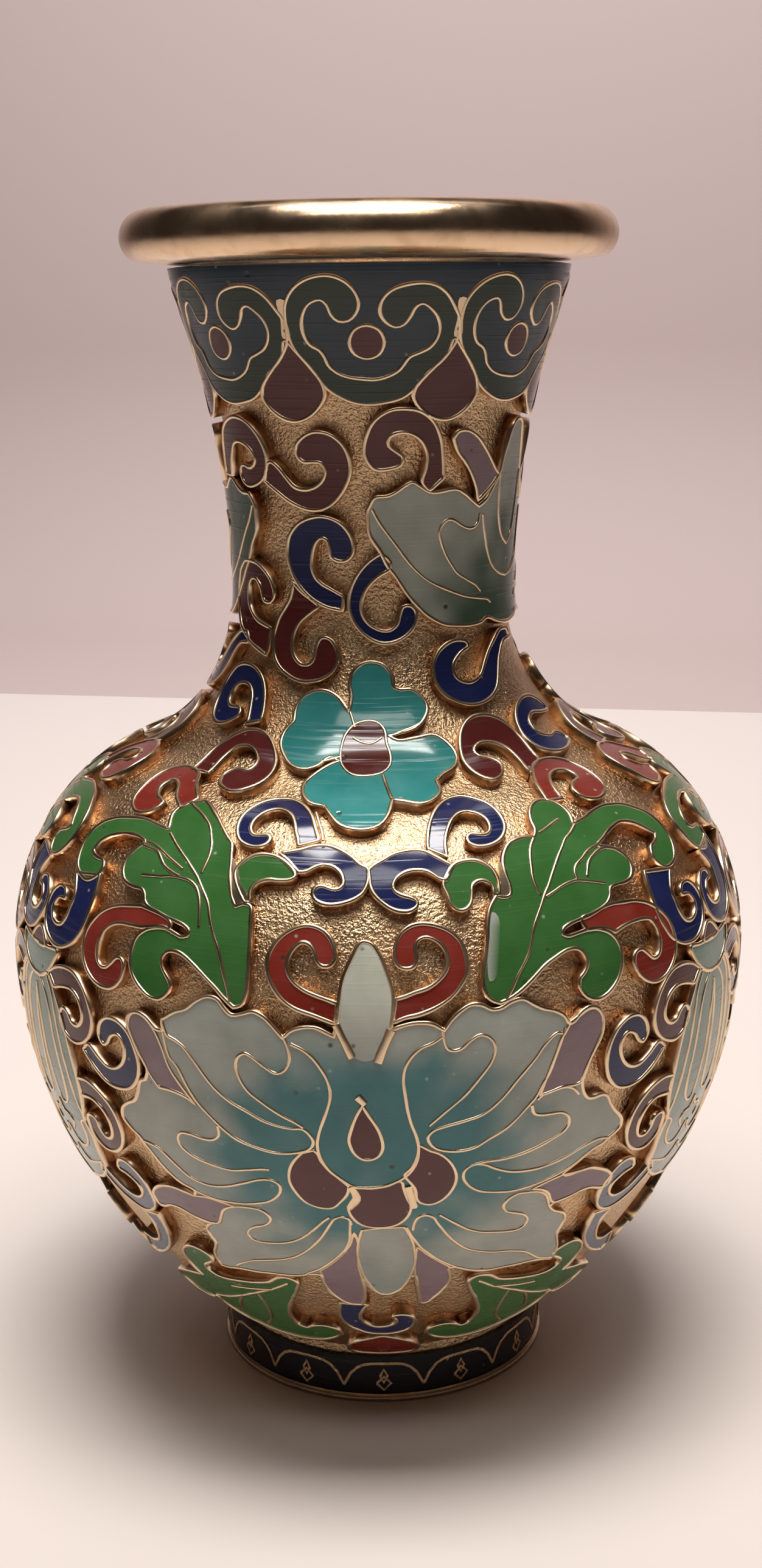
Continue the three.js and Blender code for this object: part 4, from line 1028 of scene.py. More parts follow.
LINE_STEP = 0.32  # how closely lines are sampled, in drawing millimetres
LEAST_GAP = 1e-3  # keeps two points in one place from dividing by nothing


def read_line(text: str) -> tuple[np.ndarray, list[int]]:
    """Reads a line of the drawing.

    Args:
        text: Points as "x,y", with a c after those that are corners.

    Returns:
        The points and the places of the corners among them.
    """
    points = []
    corners = []
    for word in text.split():
        if word.endswith("c"):
            corners.append(len(points))
            word = word[:-1]
        x, y = word.split(",")
        points.append((float(x), float(y)))
    return np.array(points), corners


def flowing(points: np.ndarray, closed: bool) -> np.ndarray:
    """Runs a smooth centripetal line through points.

    Args:
        points: The points to pass through.
        closed: Whether the line joins its own start.

    Returns:
        Close points along it, without the last where it is closed.
    """
    if closed:
        padded = np.vstack([points[-1], points, points[0], points[1]])
    else:
        padded = np.vstack([2 * points[0] - points[1], points, 2 * points[-1] - points[-2]])
    made = []
    for i in range(1, len(padded) - 2):
        a, b, c, d = padded[i - 1 : i + 3]
        pairs = ((a, b), (b, c), (c, d))
        gaps = [max(math.sqrt(np.linalg.norm(q - p)), LEAST_GAP) for p, q in pairs]
        count = max(1, int(math.ceil(np.linalg.norm(c - b) / LINE_STEP)))
        leaving = (b - a) / gaps[0] - (c - a) / (gaps[0] + gaps[1]) + (c - b) / gaps[1]
        coming = (c - b) / gaps[1] - (d - b) / (gaps[1] + gaps[2]) + (d - c) / gaps[2]
        for j in range(count):
            t = j / count
            h = (2 * t**3 - 3 * t**2 + 1, t**3 - 2 * t**2 + t, 3 * t**2 - 2 * t**3, t**3 - t**2)
            start = h[0] * b + h[1] * gaps[1] * leaving
            made.append(start + h[2] * c + h[3] * gaps[1] * coming)
    if not closed:
        made.append(points[-1])
    return np.array(made)


def traced(text: str, closed: bool) -> np.ndarray:
    """Follows a line of the drawing, smooth between its corners.

    Args:
        text: The line.
        closed: Whether it joins its own start.

    Returns:
        Close points along it, without the last where it is closed.
    """
    points, corners = read_line(text)
    if closed and not corners:
        return flowing(points, True)
    if closed:
        points = np.roll(points, -corners[0], axis=0)
        corners = [corner - corners[0] for corner in corners] + [len(points)]
        points = np.vstack([points, points[0]])
    else:
        last = len(points) - 1
        corners = [0, *(corner for corner in corners if 0 < corner < last), last]
    runs = [flowing(points[a : b + 1], False) for a, b in zip(corners, corners[1:]) if b > a]
    line = np.vstack([run[:-1] for run in runs] + [runs[-1][-1:]])
    return line[:-1] if closed else line


class Glaze:
    """A cell's colour, the same all over unless a subclass says otherwise."""

    def __init__(self, glass: Glass) -> None:
        """Keeps the enamel."""
        self.glass = glass

    def colours(self, points: np.ndarray) -> np.ndarray:
        """The colour at each drawing point, as rows of linear red, green and blue."""
        return np.tile(self.glass.colour, (len(points), 1))


class Fade(Glaze):
    """A cell that runs from its own enamel to another colour between two drawing points."""

    PATCHES = 0.35  # patches per drawing millimetre where the two colours meet
    PATCH_SEED = 3.0
    PATCH_REACH = 0.45  # how far a patch moves the change, as a share of it

    def __init__(
        self, glass: Glass, other: Sequence[float], start: Sequence[float], end: Sequence[float]
    ) -> None:
        """Keeps the two colours and where they meet.

        Args:
            glass: The enamel at the start.
            other: The linear colour at the end.
            start: The drawing point where the change begins.
            end: The drawing point where it is done.
        """
        super().__init__(glass)
        self.other = np.array(other)
        self.start = np.array(start, float)
        self.run = np.array(end, float) - self.start

    def share(self, points: np.ndarray) -> np.ndarray:
        """How far each point is from the first colour to the second, 0 to 1."""
        return np.clip((points - self.start) @ self.run / (self.run @ self.run), 0, 1)

    def colours(self, points: np.ndarray) -> np.ndarray:
        """Runs the one colour into the other.

        Args:
            points: Rows of x and y, in drawing millimetres.

        Returns:
            Rows of linear red, green and blue.
        """
        scale, seed = self.PATCHES, self.PATCH_SEED
        patches = np.array([noise.noise(Vector((x * scale, y * scale, seed))) for x, y in points])
        share = np.clip(self.share(points) + self.PATCH_REACH * patches, 0, 1)
        share = (share * share * (3 - 2 * share))[:, None]
        return np.array(self.glass.colour) * (1 - share) + self.other * share


class Bloom(Fade):
    """A cell whose second colour fills its middle: start is the middle, and end lies on its rim."""

    UPWARDS = 1.5  # how much sooner the colour ends above the middle than beside it
    FULL = 1.9
    FALL = 1.6

    def share(self, points: np.ndarray) -> np.ndarray:
        """How much of the second colour there is.

        Args:
            points: Rows of x and y, in drawing millimetres.

        Returns:
            1 in the middle, falling to 0 past the rim.
        """
        reach = np.linalg.norm(self.run)
        away = points - self.start
        away[:, 1] = np.where(away[:, 1] > 0, away[:, 1] * self.UPWARDS, away[:, 1])
        return np.clip(self.FULL - self.FALL * np.linalg.norm(away, axis=1) / reach, 0, 1)


class Border(Enum):
    """The wire round a cell: none, one that lies in the enamel, or one down to the ground."""

    NONE = 0
    SHALLOW = 1
    DEEP = 2


@dataclass(frozen=True)
class Cell:
    """A field of enamel, or of gilt where it has no glaze."""

    line: str
    glaze: Optional[Glaze]
    border: Border = Border.DEEP
    layer: int = 0  # the higher one shows where two cells meet


@dataclass(frozen=True)
class Motif:
    """One figure of the drawing: its cells, its wires, and how it repeats round the vase."""

    name: str
    cells: tuple[Cell, ...]
    wires: tuple[str, ...] = ()
    heavy_wires: tuple[str, ...] = ()
    repeats: int = 3
    turned: float = 0.0  # where the first one stands, in repeats
    stands_for: str = ""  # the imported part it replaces, without its number
    copies: tuple[int, ...] = ()  # which of the repeats are made, all of them when empty


def redrawn(text: str, change: Callable[[float], float]) -> str:
    """A line of the drawing with its places round the vase changed.

    Args:
        text: The line.
        change: Gives the new x of each point.

    Returns:
        The new line.
    """
    words = []
    for word in text.split():
        corner = "c" if word.endswith("c") else ""
        x, y = word.rstrip("c").split(",")
        words.append(f"{change(float(x)):.3f},{y}{corner}")
    return " ".join(words)


def mirrored_line(text: str, axis: float) -> str:
    """A line of the drawing mirrored about an upright axis."""
    return redrawn(text, lambda x: 2 * axis - x)


def moved_line(text: str, along: float) -> str:
    """A line of the drawing moved round it."""
    return redrawn(text, lambda x: x + along)


def joined_halves(half: str, axis: float) -> str:
    """Closes a line that is drawn for one side only."""
    other = mirrored_line(half, axis).split()
    return " ".join(half.split() + other[-2:0:-1])


# ---- Meshes ----

ON_AXIS = 1e-7  # a smaller radius is a pole
FLAT = 1e-12  # the least rise of an edge that a point's row can cross
GRID_CLEAR = 0.45  # how far inner points stay from a cell's edge, in mesh steps
CUT_INSIDE = 1  # the triangulation keeps what lies inside the ring
MERGE = 1e-5  # in drawing millimetres


def new_object(name: str, places: np.ndarray, faces: Sequence[Sequence[int]]) -> bpy.types.Object:
    """Makes a mesh object in the scene.

    Args:
        name: The piece's name.
        places: Rows of x, y and z in metres.
        faces: Lists of vertex numbers.

    Returns:
        The new object.
    """
    mesh = bpy.data.meshes.new(name)
    mesh.from_pydata([tuple(row) for row in places], [], [tuple(face) for face in faces])
    mesh.update()
    made = bpy.data.objects.new(name, mesh)
    bpy.context.scene.collection.objects.link(made)
    return made


def smoothed(piece: bpy.types.Object, sharp_degrees: float = 40.0) -> bpy.types.Object:
    """Turns the faces outwards and shades them smoothly.

    Args:
        piece: The piece.
        sharp_degrees: Edges sharper than this stay crisp.

    Returns:
        The same piece.
    """
    shape = bmesh.new()
    shape.from_mesh(piece.data)
    bmesh.ops.recalc_face_normals(shape, faces=shape.faces)
    for edge in shape.edges:
        if len(edge.link_faces) == 2 and edge.calc_face_angle(0) > math.radians(sharp_degrees):
            edge.smooth = False
    for face in shape.faces:
        face.smooth = True
    shape.to_mesh(piece.data)
    shape.free()
    return piece


def glazed(piece: bpy.types.Object, colours: np.ndarray) -> None:
    """Writes a piece's glaze attribute, which its enamel takes its colour from."""
    glaze = piece.data.color_attributes.new("glaze", "FLOAT_COLOR", "POINT")
    glaze.data.foreach_set("color", colours.astype(np.float32).ravel())


def dressed(piece: bpy.types.Object, finish: Finish, *parts: str) -> bpy.types.Object:
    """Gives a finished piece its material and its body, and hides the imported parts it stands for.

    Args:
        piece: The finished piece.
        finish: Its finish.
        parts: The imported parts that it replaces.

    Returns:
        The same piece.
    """
    piece.data.materials.clear()
    piece.data.materials.append(finish.made())
    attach(piece, ROOT)
    finish.slot
    for part in parts:
        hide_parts(part)
    log.info("%s: %d faces, %s", piece.name, len(piece.data.polygons), finish.slot)
    return piece


def enamelled(piece: bpy.types.Object, glass: Glass, part: str) -> None:
    """Gives a piece one enamel all over."""
    glazed(piece, np.tile([*glass.colour, 1], len(piece.data.vertices)))
    dressed(piece, Enamel(glass), part)


def turned_body(
    name: str, outline: Sequence[tuple[float, float]], segments: int = 192
) -> bpy.types.Object:
    """A body turned about the vase's axis.

    Args:
        name: The piece's name.
        outline: Points of (radius, height) round the section; one on the axis becomes a pole.
        segments: Steps round the vase.

    Returns:
        The closed body, with its faces outwards.
    """
    places = []
    rings = []
    for radius, height in outline:
        start = len(places)
        if radius < ON_AXIS:
            places.append((0, 0, height))
            rings.append([start] * segments)
            continue
        for i in range(segments):
            angle = 2 * math.pi * i / segments
            places.append((radius * math.sin(angle), -radius * math.cos(angle), height))
        rings.append(list(range(start, start + segments)))
    faces = []
    open_ends = outline[0][0] < ON_AXIS and outline[-1][0] < ON_AXIS
    pairs = list(zip(rings, rings[1:])) + ([] if open_ends else [(rings[-1], rings[0])])
    for lower, upper in pairs:
        for i in range(segments):
            j = (i + 1) % segments
            face = list(dict.fromkeys((lower[i], lower[j], upper[j], upper[i])))
            if len(face) > 2:
                faces.append(face)
    return smoothed(new_object(name, np.array(places), faces))


def inside(points: np.ndarray, ring: np.ndarray) -> np.ndarray:
    """Finds the points that lie inside a closed ring.

    Args:
        points: Rows of x and y.
        ring: Points round the ring.

    Returns:
        True for each point inside.
    """
    x, y = points[:, 0][:, None], points[:, 1][:, None]
    ax, ay = ring[:, 0], ring[:, 1]
    bx, by = np.roll(ax, -1), np.roll(ay, -1)
    crosses = (ay > y) != (by > y)
    span = np.where(np.abs(by - ay) < FLAT, FLAT, by - ay)
    hits = crosses & (x < (bx - ax) * (y - ay) / span + ax)
    return hits.sum(axis=1) % 2 == 1


def field_mesh(ring: np.ndarray, step: float) -> tuple[np.ndarray, list[list[int]]]:
    """Meshes the inside of a closed line.

    Args:
        ring: Close points round the line.
        step: How closely the inside is meshed, in drawing millimetres.

    Returns:
        Drawing points and triangles between them.
    """
    low, high = ring.min(axis=0), ring.max(axis=0)
    xs = np.arange(low[0] + step / 2, high[0], step)
    ys = np.arange(low[1] + step / 2, high[1], step)
    extra = np.zeros((0, 2))
    if len(xs) and len(ys):
        rows = enumerate(ys)
        grid = np.array([(x + (0.5 * step if j % 2 else 0), y) for j, y in rows for x in xs])
        grid = grid[inside(grid, ring)]
        if len(grid):
            gaps = np.linalg.norm(grid[:, None, :] - ring[None, :, :], axis=2).min(axis=1)
            extra = grid[gaps > GRID_CLEAR * step]
    points = [Vector(point) for point in np.vstack([ring, extra])]
    border = [(i, (i + 1) % len(ring)) for i in range(len(ring))]
    rings = [list(range(len(ring)))]
    made, _, faces, *_ = delaunay_2d_cdt(points, border, rings, CUT_INSIDE, MERGE)
    return np.array([tuple(point) for point in made]), [list(face) for face in faces]


class Slabs:
    """Closed slabs of one finish, collected from many cells and made one mesh."""

    def __init__(self) -> None:
        """Starts with nothing."""
        self.places: list[np.ndarray] = []
        self.colours: list[np.ndarray] = []
        self.faces: list[list[int]] = []
        self.count = 0

    def add(
        self,
        sheet: Sheet,
        line: str,
        shift: float,
        top: float,
        depth: float,
        colours: Callable[[np.ndarray], np.ndarray],
    ) -> None:
        """Adds a cell.

        Args:
            sheet: The drawing it is on.
            line: The cell's closed line.
            shift: How far round the drawing it is moved.
            top: The height of its top over the enamel's surface, in metres.
            depth: Its thickness in metres.
            colours: Gives the colour of each drawing point.
        """
        points, triangles = field_mesh(traced(line, True), sheet.step)
        moved = points + np.array([shift, 0])
        upper, _ = sheet.place(moved, np.full(len(points), top))
        lower, _ = sheet.place(moved, np.full(len(points), top - depth))
        shade = colours(points)
        base, under = self.count, self.count + len(points)
        seen: dict[tuple[int, int], int] = {}
        for a, b, c in triangles:
            (ax, ay), (bx, by), (cx, cy) = points[[a, b, c]]
            if (bx - ax) * (cy - ay) - (by - ay) * (cx - ax) < 0:
                b, c = c, b
            self.faces.append([base + a, base + b, base + c])
            self.faces.append([under + c, under + b, under + a])
            for edge in ((a, b), (b, c), (c, a)):
                seen[edge] = 1
        for a, b in seen:
            if (b, a) not in seen:
                self.faces.append([base + b, base + a, under + a, under + b])
        self.places += [upper, lower]
        self.colours += [shade, shade]
        self.count += 2 * len(points)

    def finish(self, name: str) -> bpy.types.Object:
        """Makes the mesh, with its colours in the glaze attribute.

        Args:
            name: The piece's name.

        Returns:
            The finished mesh.
        """
        piece = new_object(name, np.vstack(self.places), self.faces)
        glazed(piece, np.hstack([np.vstack(self.colours), np.ones((self.count, 1))]))
        return smoothed(piece)


# ---- Wires ----


class GeometryTree(Tree):
    """Geometry nodes that make a finished piece, with named inputs for its sizes."""

    def __init__(self, name: str, sizes: dict[str, float]) -> None:
        """Makes the tree and its inputs.

        Args:
            name: The tree's name.
            sizes: The usual value of each size, by its label; a whole number is a count.
        """
        super().__init__(bpy.data.node_groups.new(name, "GeometryNodeTree"))
        socket = self.tree.interface.new_socket
        socket("Geometry", in_out="INPUT", socket_type="NodeSocketGeometry")
        for label, value in sizes.items():
            kind = "NodeSocketInt" if isinstance(value, int) else "NodeSocketFloat"
            socket(label, in_out="INPUT", socket_type=kind).default_value = value
        socket("Material", in_out="INPUT", socket_type="NodeSocketMaterial")
        socket("Geometry", in_out="OUTPUT", socket_type="NodeSocketGeometry")
        self.given = self.node("NodeGroupInput").outputs

    def finish(self, geometry: bpy.types.NodeSocket) -> bpy.types.NodeTree:
        """Makes the instances real and gives them their material.

        Args:
            geometry: What the tree has made.

        Returns:
            The finished node tree.
        """
        real = self.node("GeometryNodeRealizeInstances", {"Geometry": geometry})
        inputs = {"Geometry": real.outputs["Geometry"], "Material": self.given["Material"]}
        dressed_up = self.node("GeometryNodeSetMaterial", inputs)
        self.node("NodeGroupOutput", {"Geometry": dressed_up.outputs["Geometry"]})
        return self.tree


@dataclass
class WireTree:
    """The geometry nodes that lay a flat wire on edge along lines on the wall."""

    width: float = 0.33 * MM
    proud: float = 0.055 * MM
    rounding: float = 0.07 * MM
    root: float = 0.15 * MM  # how far a border wire reaches into the ground
    inlaid: float = 0.2 * MM  # how far a wire in enamel reaches down

    def built(self, depth: float) -> bpy.types.NodeTree:
        """Builds the tree for one depth of wire.

        Args:
            depth: How far the wire reaches under the enamel's surface, in metres.

        Returns:
            The node tree, with named inputs for the wire's sizes and its material.
        """
        sizes = {
            "Width": self.width, "Proud": self.proud, "Depth": depth, "Rounding": self.rounding
        }
        tree = GeometryTree("wire_on_edge", sizes)
        given, node, maths = tree.given, tree.node, tree.maths
        section = node(
            "GeometryNodeCurvePrimitiveQuadrilateral",
            {"Width": maths("ADD", given["Proud"], given["Depth"]), "Height": given["Width"]},
        )
        corners = {
            "Curve": section.outputs["Curve"], "Radius": given["Rounding"], "Limit Radius": True
        }
        rounded = node("GeometryNodeFilletCurve", {**corners, "Count": 1}, mode="POLY")
        uneven = maths("SUBTRACT", given["Proud"], given["Depth"])
        offset = node("ShaderNodeCombineXYZ", {"X": maths("MULTIPLY", uneven, 0.5)})
        move = {"Geometry": rounded.outputs["Curve"], "Translation": offset.outputs["Vector"]}
        sunk = node("GeometryNodeTransform", move).outputs["Geometry"]
        where = node("GeometryNodeInputPosition").outputs["Position"]
        split = node("ShaderNodeSeparateXYZ", {"Vector": where})
        below = maths("DIVIDE", maths("SUBTRACT", given["Proud"], split.outputs["X"]), MM)
        stored = {"Geometry": sunk, "Name": "deep", "Value": below}
        deep = node("GeometryNodeStoreNamedAttribute", stored, domain="POINT")
        line = node("GeometryNodeMeshToCurve", {"Mesh": given["Geometry"]}).outputs["Curve"]
        named = "GeometryNodeInputNamedAttribute"
        facing = node(named, {"Name": "facing"}, data_type="FLOAT_VECTOR").outputs["Attribute"]
        share = node(named, {"Name": "share"}, data_type="FLOAT").outputs["Attribute"]
        upright = node("GeometryNodeSetCurveNormal", {"Curve": line, "Normal": facing}, mode="FREE")
        strip = node(
            "GeometryNodeCurveToMesh",
            {
                "Curve": upright.outputs["Curve"],
                "Profile Curve": deep.outputs["Geometry"],
                "Scale": share,
                "Fill Caps": True,
            },
        )
        return tree.finish(strip.outputs["Mesh"])


def run_tree(
    base: bpy.types.Object, tree: bpy.types.NodeTree, name: str, values: dict[str, object]
) -> bpy.types.Object:
    """Runs geometry nodes on an object and keeps the result as a plain mesh.

    Args:
        base: The object the nodes start from, which is removed.
        tree: The node tree.
        name: The new piece's name.
        values: Values for the tree's inputs, by label.

    Returns:
        The finished piece.
    """
    modifier = base.modifiers.new("nodes", "NODES")
    modifier.node_group = tree
    for item in tree.interface.items_tree:
        if item.item_type == "SOCKET" and item.in_out == "INPUT" and item.name in values:
            modifier[item.identifier] = values[item.name]
    graph = bpy.context.evaluated_depsgraph_get()
    graph.update()
    mesh = bpy.data.meshes.new_from_object(base.evaluated_get(graph))
    base.modifiers.remove(modifier)
    piece = bpy.data.objects.new(name, mesh)
    bpy.context.scene.collection.objects.link(piece)
    bpy.data.objects.remove(base)
    mesh.name = name
    return piece


class Wires:
    """Lines to be laid as wire, collected and made one mesh."""

    WAVER = 0.3  # how much the width changes along a wire, as a share of it
    WAVERS = 0.7  # changes per drawing millimetre
    STRAY = 0.06  # how far the hand strays from the line, in drawing millimetres
    STRAYS = 0.45
    STRAY_SEED = 50
    SEED_STEP = 3.7  # makes each wire's hand its own
    LIFT = 0.004 * MM  # keeps the tops of wires that cross from lying in one plane
    LIFTS = 5
    CRISP_DEGREES = 50.0

    def __init__(self) -> None:
        """Starts with nothing."""
        self.places: list[np.ndarray] = []
        self.facings: list[np.ndarray] = []
        self.shares: list[np.ndarray] = []
        self.edges: list[tuple[int, int]] = []
        self.count = 0

    def add(
        self, sheet: Sheet, line: str, closed: bool, shift: float, heavy: float = 1.0
    ) -> None:
        """Adds a line.

        Args:
            sheet: The drawing it is on.
            line: The line of the drawing.
            closed: Whether it joins its own start.
            shift: How far round the drawing it is moved.
            heavy: Its width, as a share of a plain wire's.
        """
        points = traced(line, closed)
        seed = float(len(self.places)) * self.SEED_STEP

        def drift(scale: float, start: float) -> np.ndarray:
            """Smooth noise along the line."""
            return np.array([noise.noise(Vector((x * scale, y * scale, start))) for x, y in points])

        share = heavy * (1 + self.WAVER * drift(self.WAVERS, seed))
        stray = self.STRAY * drift(self.STRAYS, seed + self.STRAY_SEED)
        moved = points + np.array([shift, 0]) + stray[:, None]
        lift = np.full(len(points), self.LIFT * (len(self.places) % self.LIFTS))
        places, facing = sheet.place(moved, lift)
        numbers = range(self.count, self.count + len(points))
        self.edges += list(zip(numbers, numbers[1:]))
        if closed:
            self.edges.append((numbers[-1], numbers[0]))
        self.places.append(places)
        self.facings.append(facing)
        self.shares.append(share)
        self.count += len(points)

    def finish(
        self, name: str, tree: bpy.types.NodeTree, material: bpy.types.Material
    ) -> bpy.types.Object:
        """Lays the wires along the lines.

        Args:
            name: The piece's name.
            tree: The wire's node tree.
            material: The wire's material.

        Returns:
            The finished mesh.
        """
        mesh = bpy.data.meshes.new(name + "_lines")
        mesh.from_pydata([tuple(row) for row in np.vstack(self.places)], self.edges, [])
        facing = mesh.attributes.new("facing", "FLOAT_VECTOR", "POINT")
        facing.data.foreach_set("vector", np.vstack(self.facings).astype(np.float32).ravel())
        share = mesh.attributes.new("share", "FLOAT", "POINT")
        share.data.foreach_set("value", np.concatenate(self.shares).astype(np.float32))
        base = bpy.data.objects.new(name + "_lines", mesh)
        bpy.context.scene.collection.objects.link(base)
        return smoothed(run_tree(base, tree, name, {"Material": material}), self.CRISP_DEGREES)

# ---- The sub-assemblies ----


@dataclass
class Decoration:
    """The enamel cells and the wires on one drawing."""

    sheet: Sheet
    motifs: Sequence[Motif]
    layer_rise: float = 0.02 * MM
    enamel_sink: float = 0.03 * MM  # how far the enamel is ground below the wires
    gilt_rise: float = 0.03 * MM  # the top of a gilt field
    cell_depth: float = 0.62 * MM
    inlay_depth: float = 0.3 * MM
    inner_width: float = 0.78  # of a wire that lies in enamel, as a share of a border's
    heavy_width: float = 2.0

    def build(self, deep: bpy.types.NodeTree, shallow: bpy.types.NodeTree) -> None:
        """Builds every motif as often as it repeats.

        Args:
            deep: The node tree of a wire that reaches the ground.
            shallow: The node tree of a wire that lies in enamel.
        """
        for motif in self.motifs:
            for number in range(motif.repeats):
                if motif.copies and number + 1 not in motif.copies:
                    continue
                shift = self.sheet.round * (number + motif.turned) / motif.repeats
                self.cells(motif, number + 1, shift)
                self.wires(motif, number + 1, shift, deep, shallow)

    @staticmethod
    def bare(points: np.ndarray) -> np.ndarray:
        """The colours of a field that has no glaze."""
        return np.zeros((len(points), 3))

    def cells(self, motif: Motif, number: int, shift: float) -> None:
        """Builds one copy's cells, one piece for each finish.

        Args:
            motif: The figure.
            number: Which copy it is, from 1.
            shift: How far round the drawing it is moved.
        """
        groups: dict[Union[Glass, Metal], Slabs] = {}
        for cell in motif.cells:
            depth = self.inlay_depth if cell.layer > 0 else self.cell_depth
            if cell.glaze:
                finish, colours = cell.glaze.glass, cell.glaze.colours
                top = self.layer_rise * cell.layer - self.enamel_sink
            else:
                finish, colours = Metal.WIRE, self.bare
                top = self.gilt_rise
            slabs = groups.setdefault(finish, Slabs())
            slabs.add(self.sheet, cell.line, shift, top, depth, colours)
        parts = [f"{motif.stands_for}_{number}"] if motif.stands_for else []
        for finish, slabs in groups.items():
            if isinstance(finish, Glass):
                piece = slabs.finish(f"{motif.name}_{number}_{finish.name.lower()}")
                dressed(piece, Enamel(finish), *parts)
            else:
                piece = slabs.finish(f"{motif.name}_{number}_gilt")
                dressed(piece, GILT_WIRE)
            parts = []

    def wires(
        self,
        motif: Motif,
        number: int,
        shift: float,
        deep: bpy.types.NodeTree,
        shallow: bpy.types.NodeTree,
    ) -> None:
        """Lays one copy's wires.

        Args:
            motif: The figure.
            number: Which copy it is, from 1.
            shift: How far round the drawing it is moved.
            deep: The node tree of a wire that reaches the ground.
            shallow: The node tree of a wire that lies in enamel.
        """
        borders, inner = Wires(), Wires()
        for cell in motif.cells:
            if cell.border is Border.DEEP:
                borders.add(self.sheet, cell.line, True, shift)
            elif cell.border is Border.SHALLOW:
                inner.add(self.sheet, cell.line, True, shift, self.inner_width)
        for line in motif.wires:
            inner.add(self.sheet, line, False, shift, self.inner_width)
        for line in motif.heavy_wires:
            inner.add(self.sheet, line, False, shift, self.heavy_width)
        for wires, tree, kind in ((borders, deep, "border"), (inner, shallow, "inner")):
            if wires.count:
                name = f"{motif.name}_{number}_{kind}_wires"
                piece = wires.finish(name, tree, GILT_WIRE.made())
                dressed(piece, GILT_WIRE)


@dataclass
class Vessel:
    """The turned copper body and neck, and the enamel inside them and under the mouth."""

    wall: Wall
    copper: float = 1.1 * MM
    gap: float = 0.3 * MM
    lining: float = 0.5 * MM
    floor: float = 1.2 * MM
    collar_sink: float = 0.03 * MM
    collar_depth: float = 0.6 * MM

    def build(self) -> None:
        """Builds the body, the neck, their linings and the collar."""
        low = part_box("foot_ring")[1].z
        seam, mouth = self.wall.seam_height, self.wall.mouth_height
        copper = (self.wall.relief, self.wall.relief + self.copper)
        body = self.shell("body_ground", copper, low, seam, self.floor)
        dressed(body, GILT_GROUND, "body_shell")
        neck = self.shell("neck_ground", copper, seam, mouth)
        dressed(neck, GILT_GROUND, "neck_shell")
        back = copper[1] + self.gap
        inner = (back, back + self.lining)
        floor = low + self.floor + self.gap
        lining = self.shell("body_lining", inner, floor, seam - self.gap / 2, self.lining)
        dressed(lining, COUNTER_ENAMEL, "inner_enamel_body")
        lining = self.shell("neck_lining", inner, seam, mouth)
        dressed(lining, COUNTER_ENAMEL, "inner_enamel_neck")
        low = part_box("collar_enamel_line")[0].z
        collar = self.shell("collar_ring", (self.collar_sink, self.collar_depth), low, mouth)
        enamelled(collar, Glass.SLATE, "collar_enamel_line")

    def shell(
        self, name: str, depths: tuple[float, float], low: float, high: float, floor: float = 0.0
    ) -> bpy.types.Object:
        """Turns one layer of the wall.

        Args:
            name: The piece's name.
            depths: How far its outside and its inside lie under the enamel's surface.
            low: Its lower height.
            high: Its upper height.
            floor: The thickness of its bottom, or 0 where it is open.

        Returns:
            The closed body.
        """
        outside = self.wall.offset(depths[0], low, high)
        hollow = self.wall.offset(depths[1], low + floor, high)
        outline = [*outside, *reversed(hollow)]
        if floor:
            outline = [(0, low), *outline, (0, low + floor)]
        return turned_body(name, outline)


@dataclass
class Mouth:
    """The rolled gilt mouth, a tube of metal with a soft inner lip."""

    wall: Wall
    copper: float = 1.1 * MM
    steps: int = 22
    roll_start: float = -58.0  # degrees over the horizontal
    roll_sweep: float = 150.0
    lip_sweep: float = 86.0

    def build(self) -> None:
        """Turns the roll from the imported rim's size."""
        low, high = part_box("mouth_rim")
        roll = (high.z - low.z) / 2
        middle_radius = high.x - roll
        middle = low.z + roll
        throat = self.wall.mouth_radius - self.wall.relief - self.copper
        lip_reach = middle_radius - throat
        lip_start = self.roll_start + self.roll_sweep
        points = [(self.wall.mouth_radius, low.z)]
        for i in range(self.steps + 1):
            angle = math.radians(self.roll_start + self.roll_sweep * i / self.steps)
            across = middle_radius + roll * math.cos(angle)
            points.append((across, middle + roll * math.sin(angle)))
        for i in range(1, self.steps + 1):
            angle = math.radians(lip_start + self.lip_sweep * i / self.steps)
            across = middle_radius + lip_reach * math.cos(angle)
            points.append((across, middle + roll * math.sin(angle)))
        points.append((throat, low.z))
        rim = turned_body("mouth_roll", points)
        dressed(rim, GILT_POLISHED, "mouth_rim")


